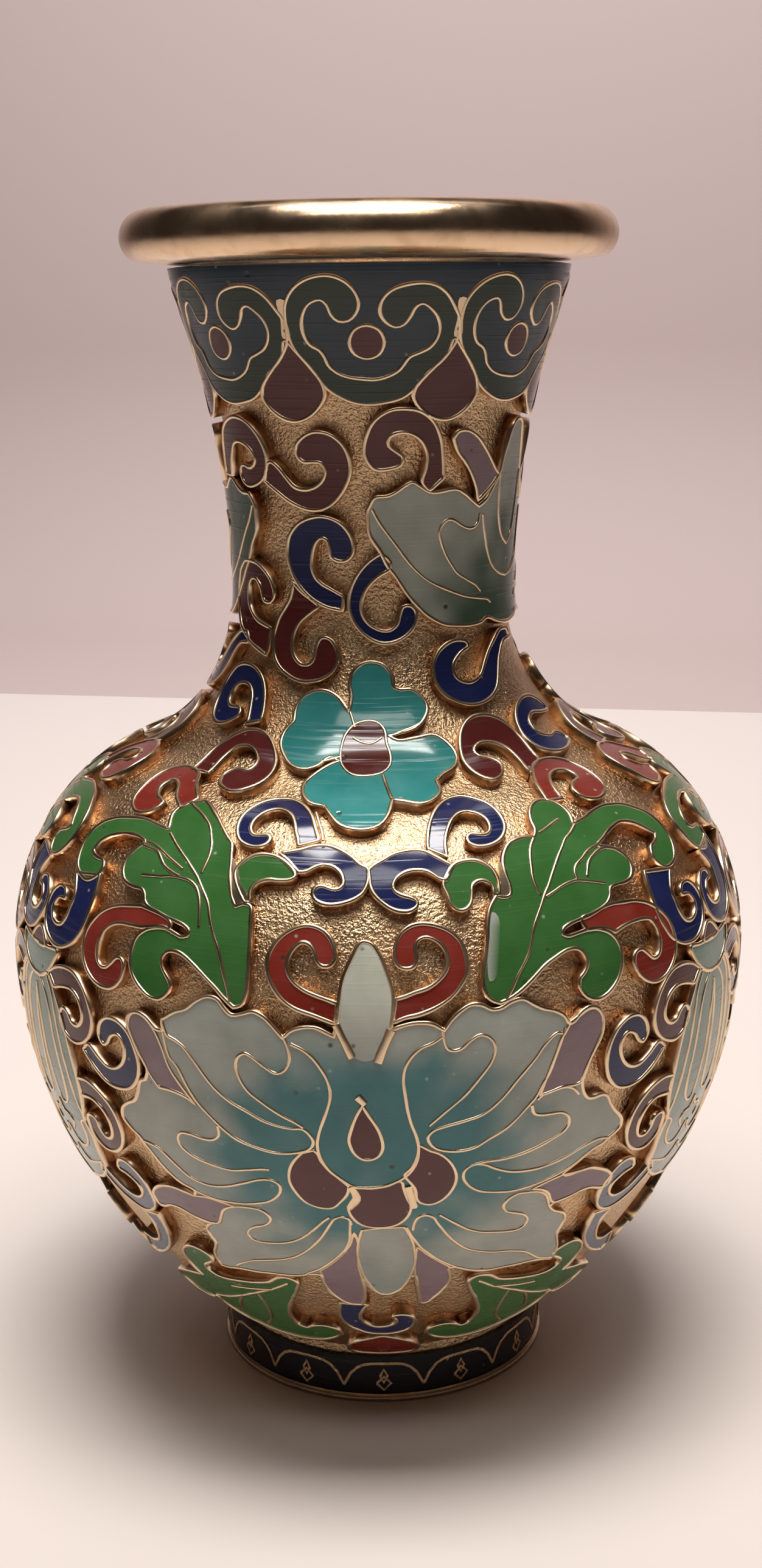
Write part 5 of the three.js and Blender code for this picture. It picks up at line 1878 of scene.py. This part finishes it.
@dataclass
class Foot:
    """The foot ring with its near-black enamel, its gilt scallops and the base inside it."""

    gap: float = 0.3 * MM  # round the base, and under the enamel
    bead: float = 0.25 * MM
    bead_steps: int = 8
    channel: float = 0.9 * MM  # the depth of the channel that holds the enamel
    band_drop: float = 0.2 * MM
    band_back: float = 0.1 * MM
    scallops: int = 13
    scallop_steps: int = 12
    scallop_low: float = 0.22  # this and the next ones are shares of the band's height
    scallop_rise: float = 0.62
    diamond_low: float = 0.12
    diamond_middle: float = 0.3
    diamond_high: float = 0.48
    diamond_reach: float = 0.1  # to each side, as a share of a scallop
    diamonds: tuple[tuple[float, float], ...] = ((0.0, 0.9), (0.2, 0.45))  # rise and size of each
    wire: float = 0.12 * MM  # half the width of a scallop's wire
    thin: float = 0.9  # a diamond's wire, as a share of it
    wire_root: float = 0.2 * MM
    wire_proud: float = 0.07 * MM

    def build(self) -> None:
        """Builds the ring, the enamel, the scallops and the base."""
        low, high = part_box("foot_ring")
        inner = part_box("base_plate")[1].x + self.gap
        band_low, band_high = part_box("foot_enamel_band")
        edge = band_low.z - self.gap
        radius = band_high.x
        wall = radius - self.channel
        outline = []
        for i in range(self.bead_steps + 1):
            bulge = self.bead * math.sin(math.pi * i / self.bead_steps)
            outline.append((high.x - self.bead + bulge, edge * i / self.bead_steps))
        outline += [(wall, edge), (wall, high.z), (inner, high.z), (inner, low.z)]
        ring = turned_body("foot_metal", outline)
        dressed(ring, GILT_POLISHED, "foot_ring")
        bottom, back = band_low.z - self.band_drop, wall + self.band_back
        corners = [(radius, bottom), (radius, band_high.z), (back, band_high.z), (back, bottom)]
        enamelled(turned_body("foot_band", corners), Glass.BLACK, "foot_enamel_band")
        self.scallop_ring(radius, edge, band_high.z)
        for name, part, finish in (
            ("base_disc", "base_plate", GILT_GROUND),
            ("base_glaze", "base_enamel", COUNTER_ENAMEL),
        ):
            low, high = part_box(part)
            disc = turned_body(name, [(0, low.z), (high.x, low.z), (high.x, high.z), (0, high.z)])
            dressed(disc, finish, part)

    def scallop_ring(self, radius: float, low: float, high: float) -> None:
        """Lays the gilt scallops and diamonds, one set repeated round the foot.

        Args:
            radius: The radius of the enamel.
            low: The lower edge of the enamel.
            high: The upper edge of the enamel.
        """
        span = 2 * math.pi / self.scallops
        rise = high - low
        outline = []
        for i in range(self.scallop_steps + 1):
            share = i / self.scallop_steps * 2 - 1
            height = low + rise * (self.scallop_low + self.scallop_rise * (1 - share**4))
            outline.append((share * span / 2, height))
        ribbons = [(outline, self.wire)]
        for offset, size in self.diamonds:
            reach = size * self.diamond_reach * span
            middle = low + rise * (self.diamond_middle + offset)
            bottom = (0, low + rise * (self.diamond_low + offset))
            top = (0, low + rise * (self.diamond_high + offset))
            line = [(-reach, middle), bottom, (reach, middle), top, (-reach, middle)]
            ribbons.append((line, self.wire * self.thin))
        places: list[tuple[float, float, float]] = []
        faces: list[tuple[int, ...]] = []
        for line, width in ribbons:
            self.ribbon(places, faces, line, width, radius)
        unit = new_object("scallop_unit", np.array(places), faces)
        # The scallops take the darker ground gilt, a painted shade for the shadow the belly casts on the
        # foot.
        values = {"Count": self.scallops, "Material": GILT_GROUND.made()}
        ring = smoothed(run_tree(unit, round_tree(self.scallops), "foot_scallops", values))
        dressed(ring, GILT_GROUND)

    def ribbon(
        self,
        places: list[tuple[float, float, float]],
        faces: list[tuple[int, ...]],
        line: Sequence[tuple[float, float]],
        width: float,
        radius: float,
    ) -> None:
        """Adds a closed bar of square section along a line on the foot's wall.

        Args:
            places: The mesh's places, added to.
            faces: The mesh's faces, added to.
            line: Points of (angle, height).
            width: Half the bar's width.
            radius: The radius of the foot's wall.
        """
        start = len(places)
        root, proud = -self.wire_root, self.wire_proud
        for i, (angle, height) in enumerate(line):
            before = line[max(i - 1, 0)]
            after = line[min(i + 1, len(line) - 1)]
            across = Vector((before[1] - after[1], (after[0] - before[0]) * radius))
            across = across.normalized() * width
            for side, out in ((1, root), (1, proud), (-1, proud), (-1, root)):
                turned = angle + side * across.x / radius
                reach = radius + out
                z = height + side * across.y
                places.append((reach * math.sin(turned), -reach * math.cos(turned), z))
        for i in range(len(line) - 1):
            for j in range(4):
                k = (j + 1) % 4
                a = start + 4 * i
                faces.append((a + j, a + k, a + 4 + k, a + 4 + j))
        faces.append((start, start + 1, start + 2, start + 3))
        last = start + 4 * (len(line) - 1)
        faces.append((last + 3, last + 2, last + 1, last))


def round_tree(count: int) -> bpy.types.NodeTree:
    """Builds geometry nodes that repeat a piece round the vase's axis.

    Args:
        count: How many there are by default.

    Returns:
        The node tree, with named inputs for the count and the material.
    """
    tree = GeometryTree("repeat_round", {"Count": count})
    line = {"Count": tree.given["Count"], "Offset": (0, 0, 0)}
    index = tree.node("GeometryNodeInputIndex").outputs["Index"]
    step = tree.maths("DIVIDE", 2 * math.pi, tree.given["Count"])
    turn = {"Axis": (0, 0, 1), "Angle": tree.maths("MULTIPLY", index, step)}
    inputs = {
        "Points": tree.node("GeometryNodeMeshLine", line).outputs["Mesh"],
        "Instance": tree.given["Geometry"],
        "Rotation": tree.node("FunctionNodeAxisAngleToRotation", turn).outputs["Rotation"],
    }
    return tree.finish(tree.node("GeometryNodeInstanceOnPoints", inputs).outputs["Instances"])


# ---- The motifs ----

TEAL = linear(62, 126, 130)
# Painted highlight: the lotus bud's top is painted brighter where the lamp lights it.
BUD_PAINTED_HIGHLIGHT = linear(206, 208, 194)
GREY_WHITE = linear(176, 186, 178)
PETAL_GREY = linear(160, 168, 160)
NECK_GREEN = linear(78, 98, 82)
LOTUS_AXIS = -0.7
LOWER_LEAF_AXIS = 0.1
NECK_FLOWER_AXIS = 14.0


def both_sides(name: str, left: str, glaze: Glaze) -> list[Motif]:
    """A scroll beside the lotus, and its mirrored twin.

    Args:
        name: The scrolls' name, without their side.
        left: The left scroll's line.
        glaze: Their colour.

    Returns:
        The two figures.
    """
    right = mirrored_line(left, LOTUS_AXIS)
    return [
        Motif(f"{name}_left", (Cell(left, glaze, layer=-1),)),
        Motif(f"{name}_right", (Cell(right, glaze, layer=-1),)),
    ]


def lotus() -> Motif:
    """The large white flower, turquoise round its heart.

    Returns:
        The figure.
    """
    white = Bloom(Glass.WHITE, TEAL, (LOTUS_AXIS, 1.4), (LOTUS_AXIS + 13.5, 1.4))
    maroon = Glaze(Glass.MAROON)
    lilac = Glaze(Glass.LILAC)
    shallow = Border.SHALLOW
    cells = (
        Cell(LOTUS_EDGE, white),
        # The bud fades up into a painted highlight towards its top.
        Cell(LOTUS_BUD, Fade(Glass.WHITE, BUD_PAINTED_HIGHLIGHT, (0, 8), (0, 13)), Border.NONE, 1),
        Cell(LOTUS_HOOK_FIELD_LEFT, Fade(Glass.WHITE, TEAL, (-17, 0), (-12, 0)), Border.NONE, 1),
        Cell(LOTUS_BAND_LEFT, Fade(Glass.WHITE, TEAL, (-17, -3), (-10, -3)), shallow, 1),
        Cell(LOTUS_BAND_RIGHT, Fade(Glass.WHITE, TEAL, (19, -2), (10, -3)), shallow, 1),
        Cell(LOTUS_FOOT_PETAL_LEFT, lilac, shallow, 1),
        Cell(LOTUS_FOOT_PETAL_RIGHT, lilac, shallow, 1),
        Cell(LOTUS_CENTRE_PETAL, Fade(Glass.WHITE, PETAL_GREY, (0, -9), (0, -16)), shallow, 2),
        Cell(LOTUS_LILAC_HIGH_LEFT, lilac, shallow, 1),
        Cell(LOTUS_LILAC_LOW_LEFT, lilac, shallow, 1),
        Cell(LOTUS_LILAC_HIGH_RIGHT, lilac, shallow, 1),
        Cell(LOTUS_LILAC_LOW_RIGHT, lilac, shallow, 1),
        Cell(LOTUS_TEARDROP, maroon, shallow, 2),
        Cell(LOTUS_HEART_LEFT, maroon, shallow, 2),
        Cell(LOTUS_HEART_BOTTOM, maroon, shallow, 2),
        Cell(LOTUS_HEART_RIGHT, maroon, shallow, 2),
    )
    return Motif("lotus", cells, LOTUS_WIRES, LOTUS_HEAVY_WIRES, stands_for="lotus")


def body_motifs() -> list[Motif]:
    """Everything drawn on the body, from the lotus outwards.

    Returns:
        The figures.
    """
    green, red, navy = Glaze(Glass.GREEN), Glaze(Glass.RED), Glaze(Glass.NAVY)
    maroon, pale = Glaze(Glass.MAROON), Glaze(Glass.PALE_BLUE)
    worn_glaze = Fade(Glass.WHITE, Glass.GREEN.colour, (8.8, 16), (9.6, 15.8))
    worn = Cell(LEAF_RIGHT_WORN, worn_glaze, Border.NONE, 1)
    left_leaf = (Cell(LEAF_LEFT_EDGE, green), Cell(LEAF_LEFT_ISLAND, None, Border.NONE))
    right_leaf = (Cell(LEAF_RIGHT_EDGE, green), worn, Cell(LEAF_RIGHT_ISLAND, None, Border.NONE))
    centre = (Cell(CENTRE_LEFT, navy), Cell(CENTRE_RIGHT, navy))
    celadon = Fade(Glass.CELADON, GREY_WHITE, (0, 6), (0, -8))
    flower = (
        Cell(moved_line(FLOWER_BODY, LOTUS_AXIS), celadon),
        Cell(moved_line(FLOWER_CREST, LOTUS_AXIS), celadon),
        Cell(moved_line(FLOWER_CREST_HEART, LOTUS_AXIS), maroon, Border.DEEP, 1),
    )
    half_wires = FLOWER_HALF_WIRES
    flower_wires = (*half_wires, *(mirrored_line(line, 0) for line in half_wires))
    flower_wires = tuple(moved_line(line, LOTUS_AXIS) for line in flower_wires)
    lower_leaf = mirrored_line(LOWER_LEAF, LOWER_LEAF_AXIS)
    veins = tuple(mirrored_line(line, LOWER_LEAF_AXIS) for line in LOWER_LEAF_VEINS)
    leaf_left, leaf_right = "lower_leaf_left", "lower_leaf_right"
    return [
        lotus(),
        Motif("leaf_left", left_leaf, LEAF_LEFT_VEINS, stands_for="leaf_left"),
        Motif("leaf_right", right_leaf, LEAF_RIGHT_VEINS, stands_for="leaf_right"),
        Motif("centre_scroll", centre, stands_for="centre_scroll"),
        Motif("swirl_left", (Cell(SWIRL_LEFT, green, layer=-1),)),
        Motif("swirl_right", (Cell(SWIRL_RIGHT, green, layer=-1),)),
        Motif("hook_left", (Cell(HOOK_LEFT, navy),), (HOOK_LEFT_WIRE,)),
        Motif("hook_right", (Cell(HOOK_RIGHT, navy),)),
        Motif("bud_scroll_left", (Cell(BUD_SCROLL_LEFT, red),)),
        Motif("bud_scroll_right", (Cell(BUD_SCROLL_RIGHT, red),)),
        Motif("side_scroll_left", (Cell(SIDE_SCROLL_LEFT, red),), stands_for="side_scroll_left"),
        Motif("side_scroll_right", (Cell(SIDE_SCROLL_RIGHT, red),), stands_for="side_scroll_right"),
        *both_sides("navy_curl", NAVY_CURL, navy),
        *both_sides("maroon_high", MAROON_HIGH, maroon),
        *both_sides("maroon_low", MAROON_LOW, maroon),
        *both_sides("navy_heel", NAVY_HEEL, navy),
        *both_sides("pale_hook", PALE_HOOK, pale),
        *both_sides("pale_sweep", PALE_SWEEP, pale),
        Motif("side_flower", flower, flower_wires, turned=0.5, stands_for="side_flower"),
        Motif(leaf_left, (Cell(LOWER_LEAF, green, layer=-1),), LOWER_LEAF_VEINS, stands_for=leaf_left),
        Motif(leaf_right, (Cell(lower_leaf, green, layer=-1),), veins, stands_for=leaf_right),
        Motif("foot_curl", (Cell(FOOT_CURL, navy),)),
        Motif("foot_tongue", (Cell(FOOT_TONGUE, red),)),
    ]


def shoulder_motifs() -> list[Motif]:
    """The turquoise flowers on the shoulder and the scrolls beside them.

    Returns:
        The figures.
    """
    turquoise, maroon, red = Glaze(Glass.TURQUOISE), Glaze(Glass.MAROON), Glaze(Glass.RED)
    flower = (Cell(SHOULDER_FLOWER, turquoise), Cell(SHOULDER_HEART, maroon, Border.SHALLOW, 1))
    return [
        Motif("shoulder_flower", flower, SHOULDER_WIRES, stands_for="shoulder_flower"),
        Motif("shoulder_maroon_left", (Cell(SHOULDER_MAROON_LEFT, maroon),)),
        Motif("shoulder_red_left", (Cell(SHOULDER_RED_LEFT, red),)),
        Motif("shoulder_maroon_right", (Cell(SHOULDER_MAROON_RIGHT, maroon),)),
        Motif("shoulder_red_right", (Cell(SHOULDER_RED_RIGHT, red),)),
    ]


def neck_motifs() -> list[Motif]:
    """Everything drawn on the neck: scrolls, half-open flowers and the collar of ruyi heads.

    Returns:
        The figures.
    """
    maroon, navy, lilac = Glaze(Glass.MAROON), Glaze(Glass.NAVY), Glaze(Glass.LILAC)
    axis = NECK_FLOWER_AXIS
    blossom = Fade(Glass.WHITE, NECK_GREEN, (5, 3), (11.5, -3.5))
    flower = (Cell(joined_halves(NECK_FLOWER_HALF, axis), blossom),)
    flower_wires = (*NECK_FLOWER_WIRES, *(mirrored_line(line, axis) for line in NECK_FLOWER_WIRES))
    right_petal = mirrored_line(NECK_FLOWER_LILAC, axis)
    ruyi = (
        Cell(RUYI_HEAD, Glaze(Glass.DARK_GREEN), layer=3),
        Cell(RUYI_FIELD, Glaze(Glass.SLATE), Border.NONE),
        Cell(RUYI_DOT, maroon, layer=3),
        Cell(RUYI_BRIDGE, None, Border.NONE),
    )
    scrolls = (
        ("neck_scroll_a", NECK_SCROLL_A, maroon, 2, ()),
        ("neck_scroll_b", NECK_SCROLL_B, maroon, 2, ()),
        ("neck_navy_c", NECK_NAVY_C, navy, 2, ()),
        ("neck_navy_d", NECK_NAVY_D, navy, 2, ()),
        ("neck_maroon_e", NECK_MAROON_E, maroon, 2, ()),
        ("neck_maroon_f", NECK_MAROON_F, maroon, 2, ()),
        ("neck_navy_g", NECK_NAVY_G, navy, 3, (1,)),
        ("neck_navy_h", NECK_NAVY_H, navy, 3, (1, 3)),
        ("neck_navy_i", NECK_NAVY_I, navy, 3, (1, 2)),
    )
    return [
        *(
            Motif(name, (Cell(line, glaze, layer=-1),), repeats=repeats, copies=copies)
            for name, line, glaze, repeats, copies in scrolls
        ),
        Motif("neck_scroll", (Cell(NECK_SCROLL_C, maroon),), repeats=2, stands_for="neck_scroll"),
        Motif("neck_flower", flower, flower_wires, repeats=2, stands_for="neck_flower"),
        Motif("neck_petal_left", (Cell(NECK_FLOWER_LILAC, lilac),), repeats=2),
        Motif("neck_petal_right", (Cell(right_petal, lilac),), repeats=2),
        Motif("collar_drop", (Cell(COLLAR_DROP, maroon),), repeats=7, stands_for="collar_drop"),
        Motif("ruyi_head", ruyi, repeats=7, stands_for="ruyi_head"),
    ]


# ---- Floor, light and camera ----


def plain_material(name: str, colour: Sequence[float], roughness: float) -> bpy.types.Material:
    """A matt material for the floor and the backdrop.

    Args:
        name: The material's name.
        colour: Its linear colour.
        roughness: Its roughness.

    Returns:
        The material.
    """
    material = bpy.data.materials.new(name)
    nodes = Nodes(material)
    nodes.set("Base Color", colour)
    nodes.set("Roughness", roughness)
    return material


@dataclass(frozen=True)
class Lamp:
    """A soft rectangular light that points at a target. Lengths in metres, power in watts."""

    name: str
    place: tuple[float, float, float]
    target: tuple[float, float, float]
    width: float
    height: float
    power: float
    spread: float = 100.0  # degrees
    colour: tuple[float, float, float] = (1.0, 0.96, 0.92)

    def hang(self) -> None:
        """Adds the light to the scene."""
        lamp = bpy.data.lights.new(self.name, "AREA")
        lamp.shape = "RECTANGLE"
        lamp.size = self.width
        lamp.size_y = self.height
        lamp.energy = self.power
        lamp.color = self.colour
        lamp.spread = math.radians(self.spread)
        made = bpy.data.objects.new(self.name, lamp)
        bpy.context.scene.collection.objects.link(made)
        made.location = self.place
        aim = Vector(self.target) - Vector(self.place)
        made.rotation_euler = aim.to_track_quat("-Z", "Y").to_euler()


LAMPS = (
    Lamp("overhead", (0, -0.05, 0.45), (0, -0.02, 0.0), 0.24, 0.14, 0.7),
    Lamp("front_panel", (0, -0.21, 0.42), (0, 0, 0.05), 0.28, 0.07, 0.09),
    Lamp("wall_wash", (0, 0.16, 0.5), (0, 0.46, 0.06), 0.5, 0.1, 1.45, 120.0, (1.0, 0.98, 0.99)),
)


@dataclass
class Studio:
    """A pale floor that curves up into a backdrop, soft lights and the camera."""

    floor_colour: tuple[float, float, float] = linear(222, 212, 206)
    wall_colour: tuple[float, float, float] = linear(196, 178, 174)
    sky_colour: tuple[float, float, float] = linear(206, 190, 182)
    sky_strength: float = 0.04
    floor_front: float = -1.2
    table_edge: float = 0.291
    wall_distance: float = 0.46
    wall_slant: float = 11.0
    wall_top: float = 1.4
    half_width: float = 1.0
    bend: float = 0.08
    bend_steps: int = 12
    camera_place: tuple[float, float, float] = (0.41 * MM, -166.9 * MM, 92.5 * MM)
    camera_pitch: float = 13.78
    camera_roll: float = -0.74
    focal_length: float = 45.04
    sensor_width: float = 36
    nearest: float = 0.005

    def build(self) -> None:
        """Builds the stage, the lights and the camera."""
        self.backdrop()
        world = bpy.data.worlds.new("studio")
        bpy.context.scene.world = world
        world.use_nodes = True
        sky = world.node_tree.nodes["Background"]
        sky.inputs["Color"].default_value = (*self.sky_colour, 1)
        sky.inputs["Strength"].default_value = self.sky_strength
        for lamp in LAMPS:
            lamp.hang()
        bpy.context.scene.view_settings.view_transform = "Standard"
        self.camera()

    def backdrop(self) -> None:
        """A floor that turns up into a slanted wall behind the vase."""
        flat_end = self.wall_distance - self.bend
        line = [(self.floor_front, 0.0), (self.table_edge, 0.0), (flat_end, 0.0)]
        for i in range(1, self.bend_steps + 1):
            angle = math.radians(90 * i / self.bend_steps)
            out = flat_end + self.bend * math.sin(angle)
            line.append((out, self.bend - self.bend * math.cos(angle)))
        line.append((self.wall_distance, self.wall_top))
        slant = math.tan(math.radians(self.wall_slant))
        sides = (-self.half_width, self.half_width)
        places = [
            (x, y - (slant * x if i else 0), z) for i, (y, z) in enumerate(line) for x in sides
        ]
        faces = [(2 * i, 2 * i + 1, 2 * i + 3, 2 * i + 2) for i in range(len(line) - 1)]
        stage = new_object("stage_floor", np.array(places), faces)
        for polygon in stage.data.polygons:
            polygon.use_smooth = True
            polygon.material_index = int(polygon.index > 0)
        stage.data.materials.append(plain_material("stage_paper", self.floor_colour, 0.75))
        stage.data.materials.append(plain_material("stage_wall", self.wall_colour, 0.8))

    def camera(self) -> None:
        """The camera, close to the vase and a little above it."""
        lens = bpy.data.cameras.new("camera")
        lens.lens = self.focal_length
        lens.sensor_width = self.sensor_width
        lens.clip_start = self.nearest
        made = bpy.data.objects.new("camera", lens)
        bpy.context.scene.collection.objects.link(made)
        tilt = Matrix.Rotation(math.radians(90 - self.camera_pitch), 4, "X")
        roll = Matrix.Rotation(math.radians(self.camera_roll), 4, "Z")
        made.matrix_world = Matrix.Translation(self.camera_place) @ tilt @ roll
        bpy.context.scene.camera = made


def main() -> None:
    """Builds the vase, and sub-assembly by sub-assembly."""
    logging.basicConfig(level=logging.INFO, format="%(name)s %(message)s")
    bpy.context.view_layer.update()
    wall = Wall.from_frame()
    Studio().build()
    Vessel(wall).build()
    Mouth(wall).build()
    Foot().build()
    wire = WireTree()
    deep = wire.built(wall.relief + wire.root)
    shallow = wire.built(wire.inlaid)
    body = Sheet(wall, radius=32.0, zero_height=30 * MM, step=1.1)
    neck = Sheet(wall, radius=12.5, zero_height=72 * MM, step=0.55)
    Decoration(body, body_motifs()).build(deep, shallow)
    Decoration(neck, shoulder_motifs() + neck_motifs()).build(deep, shallow)


if __name__ == "__main__":
    main()
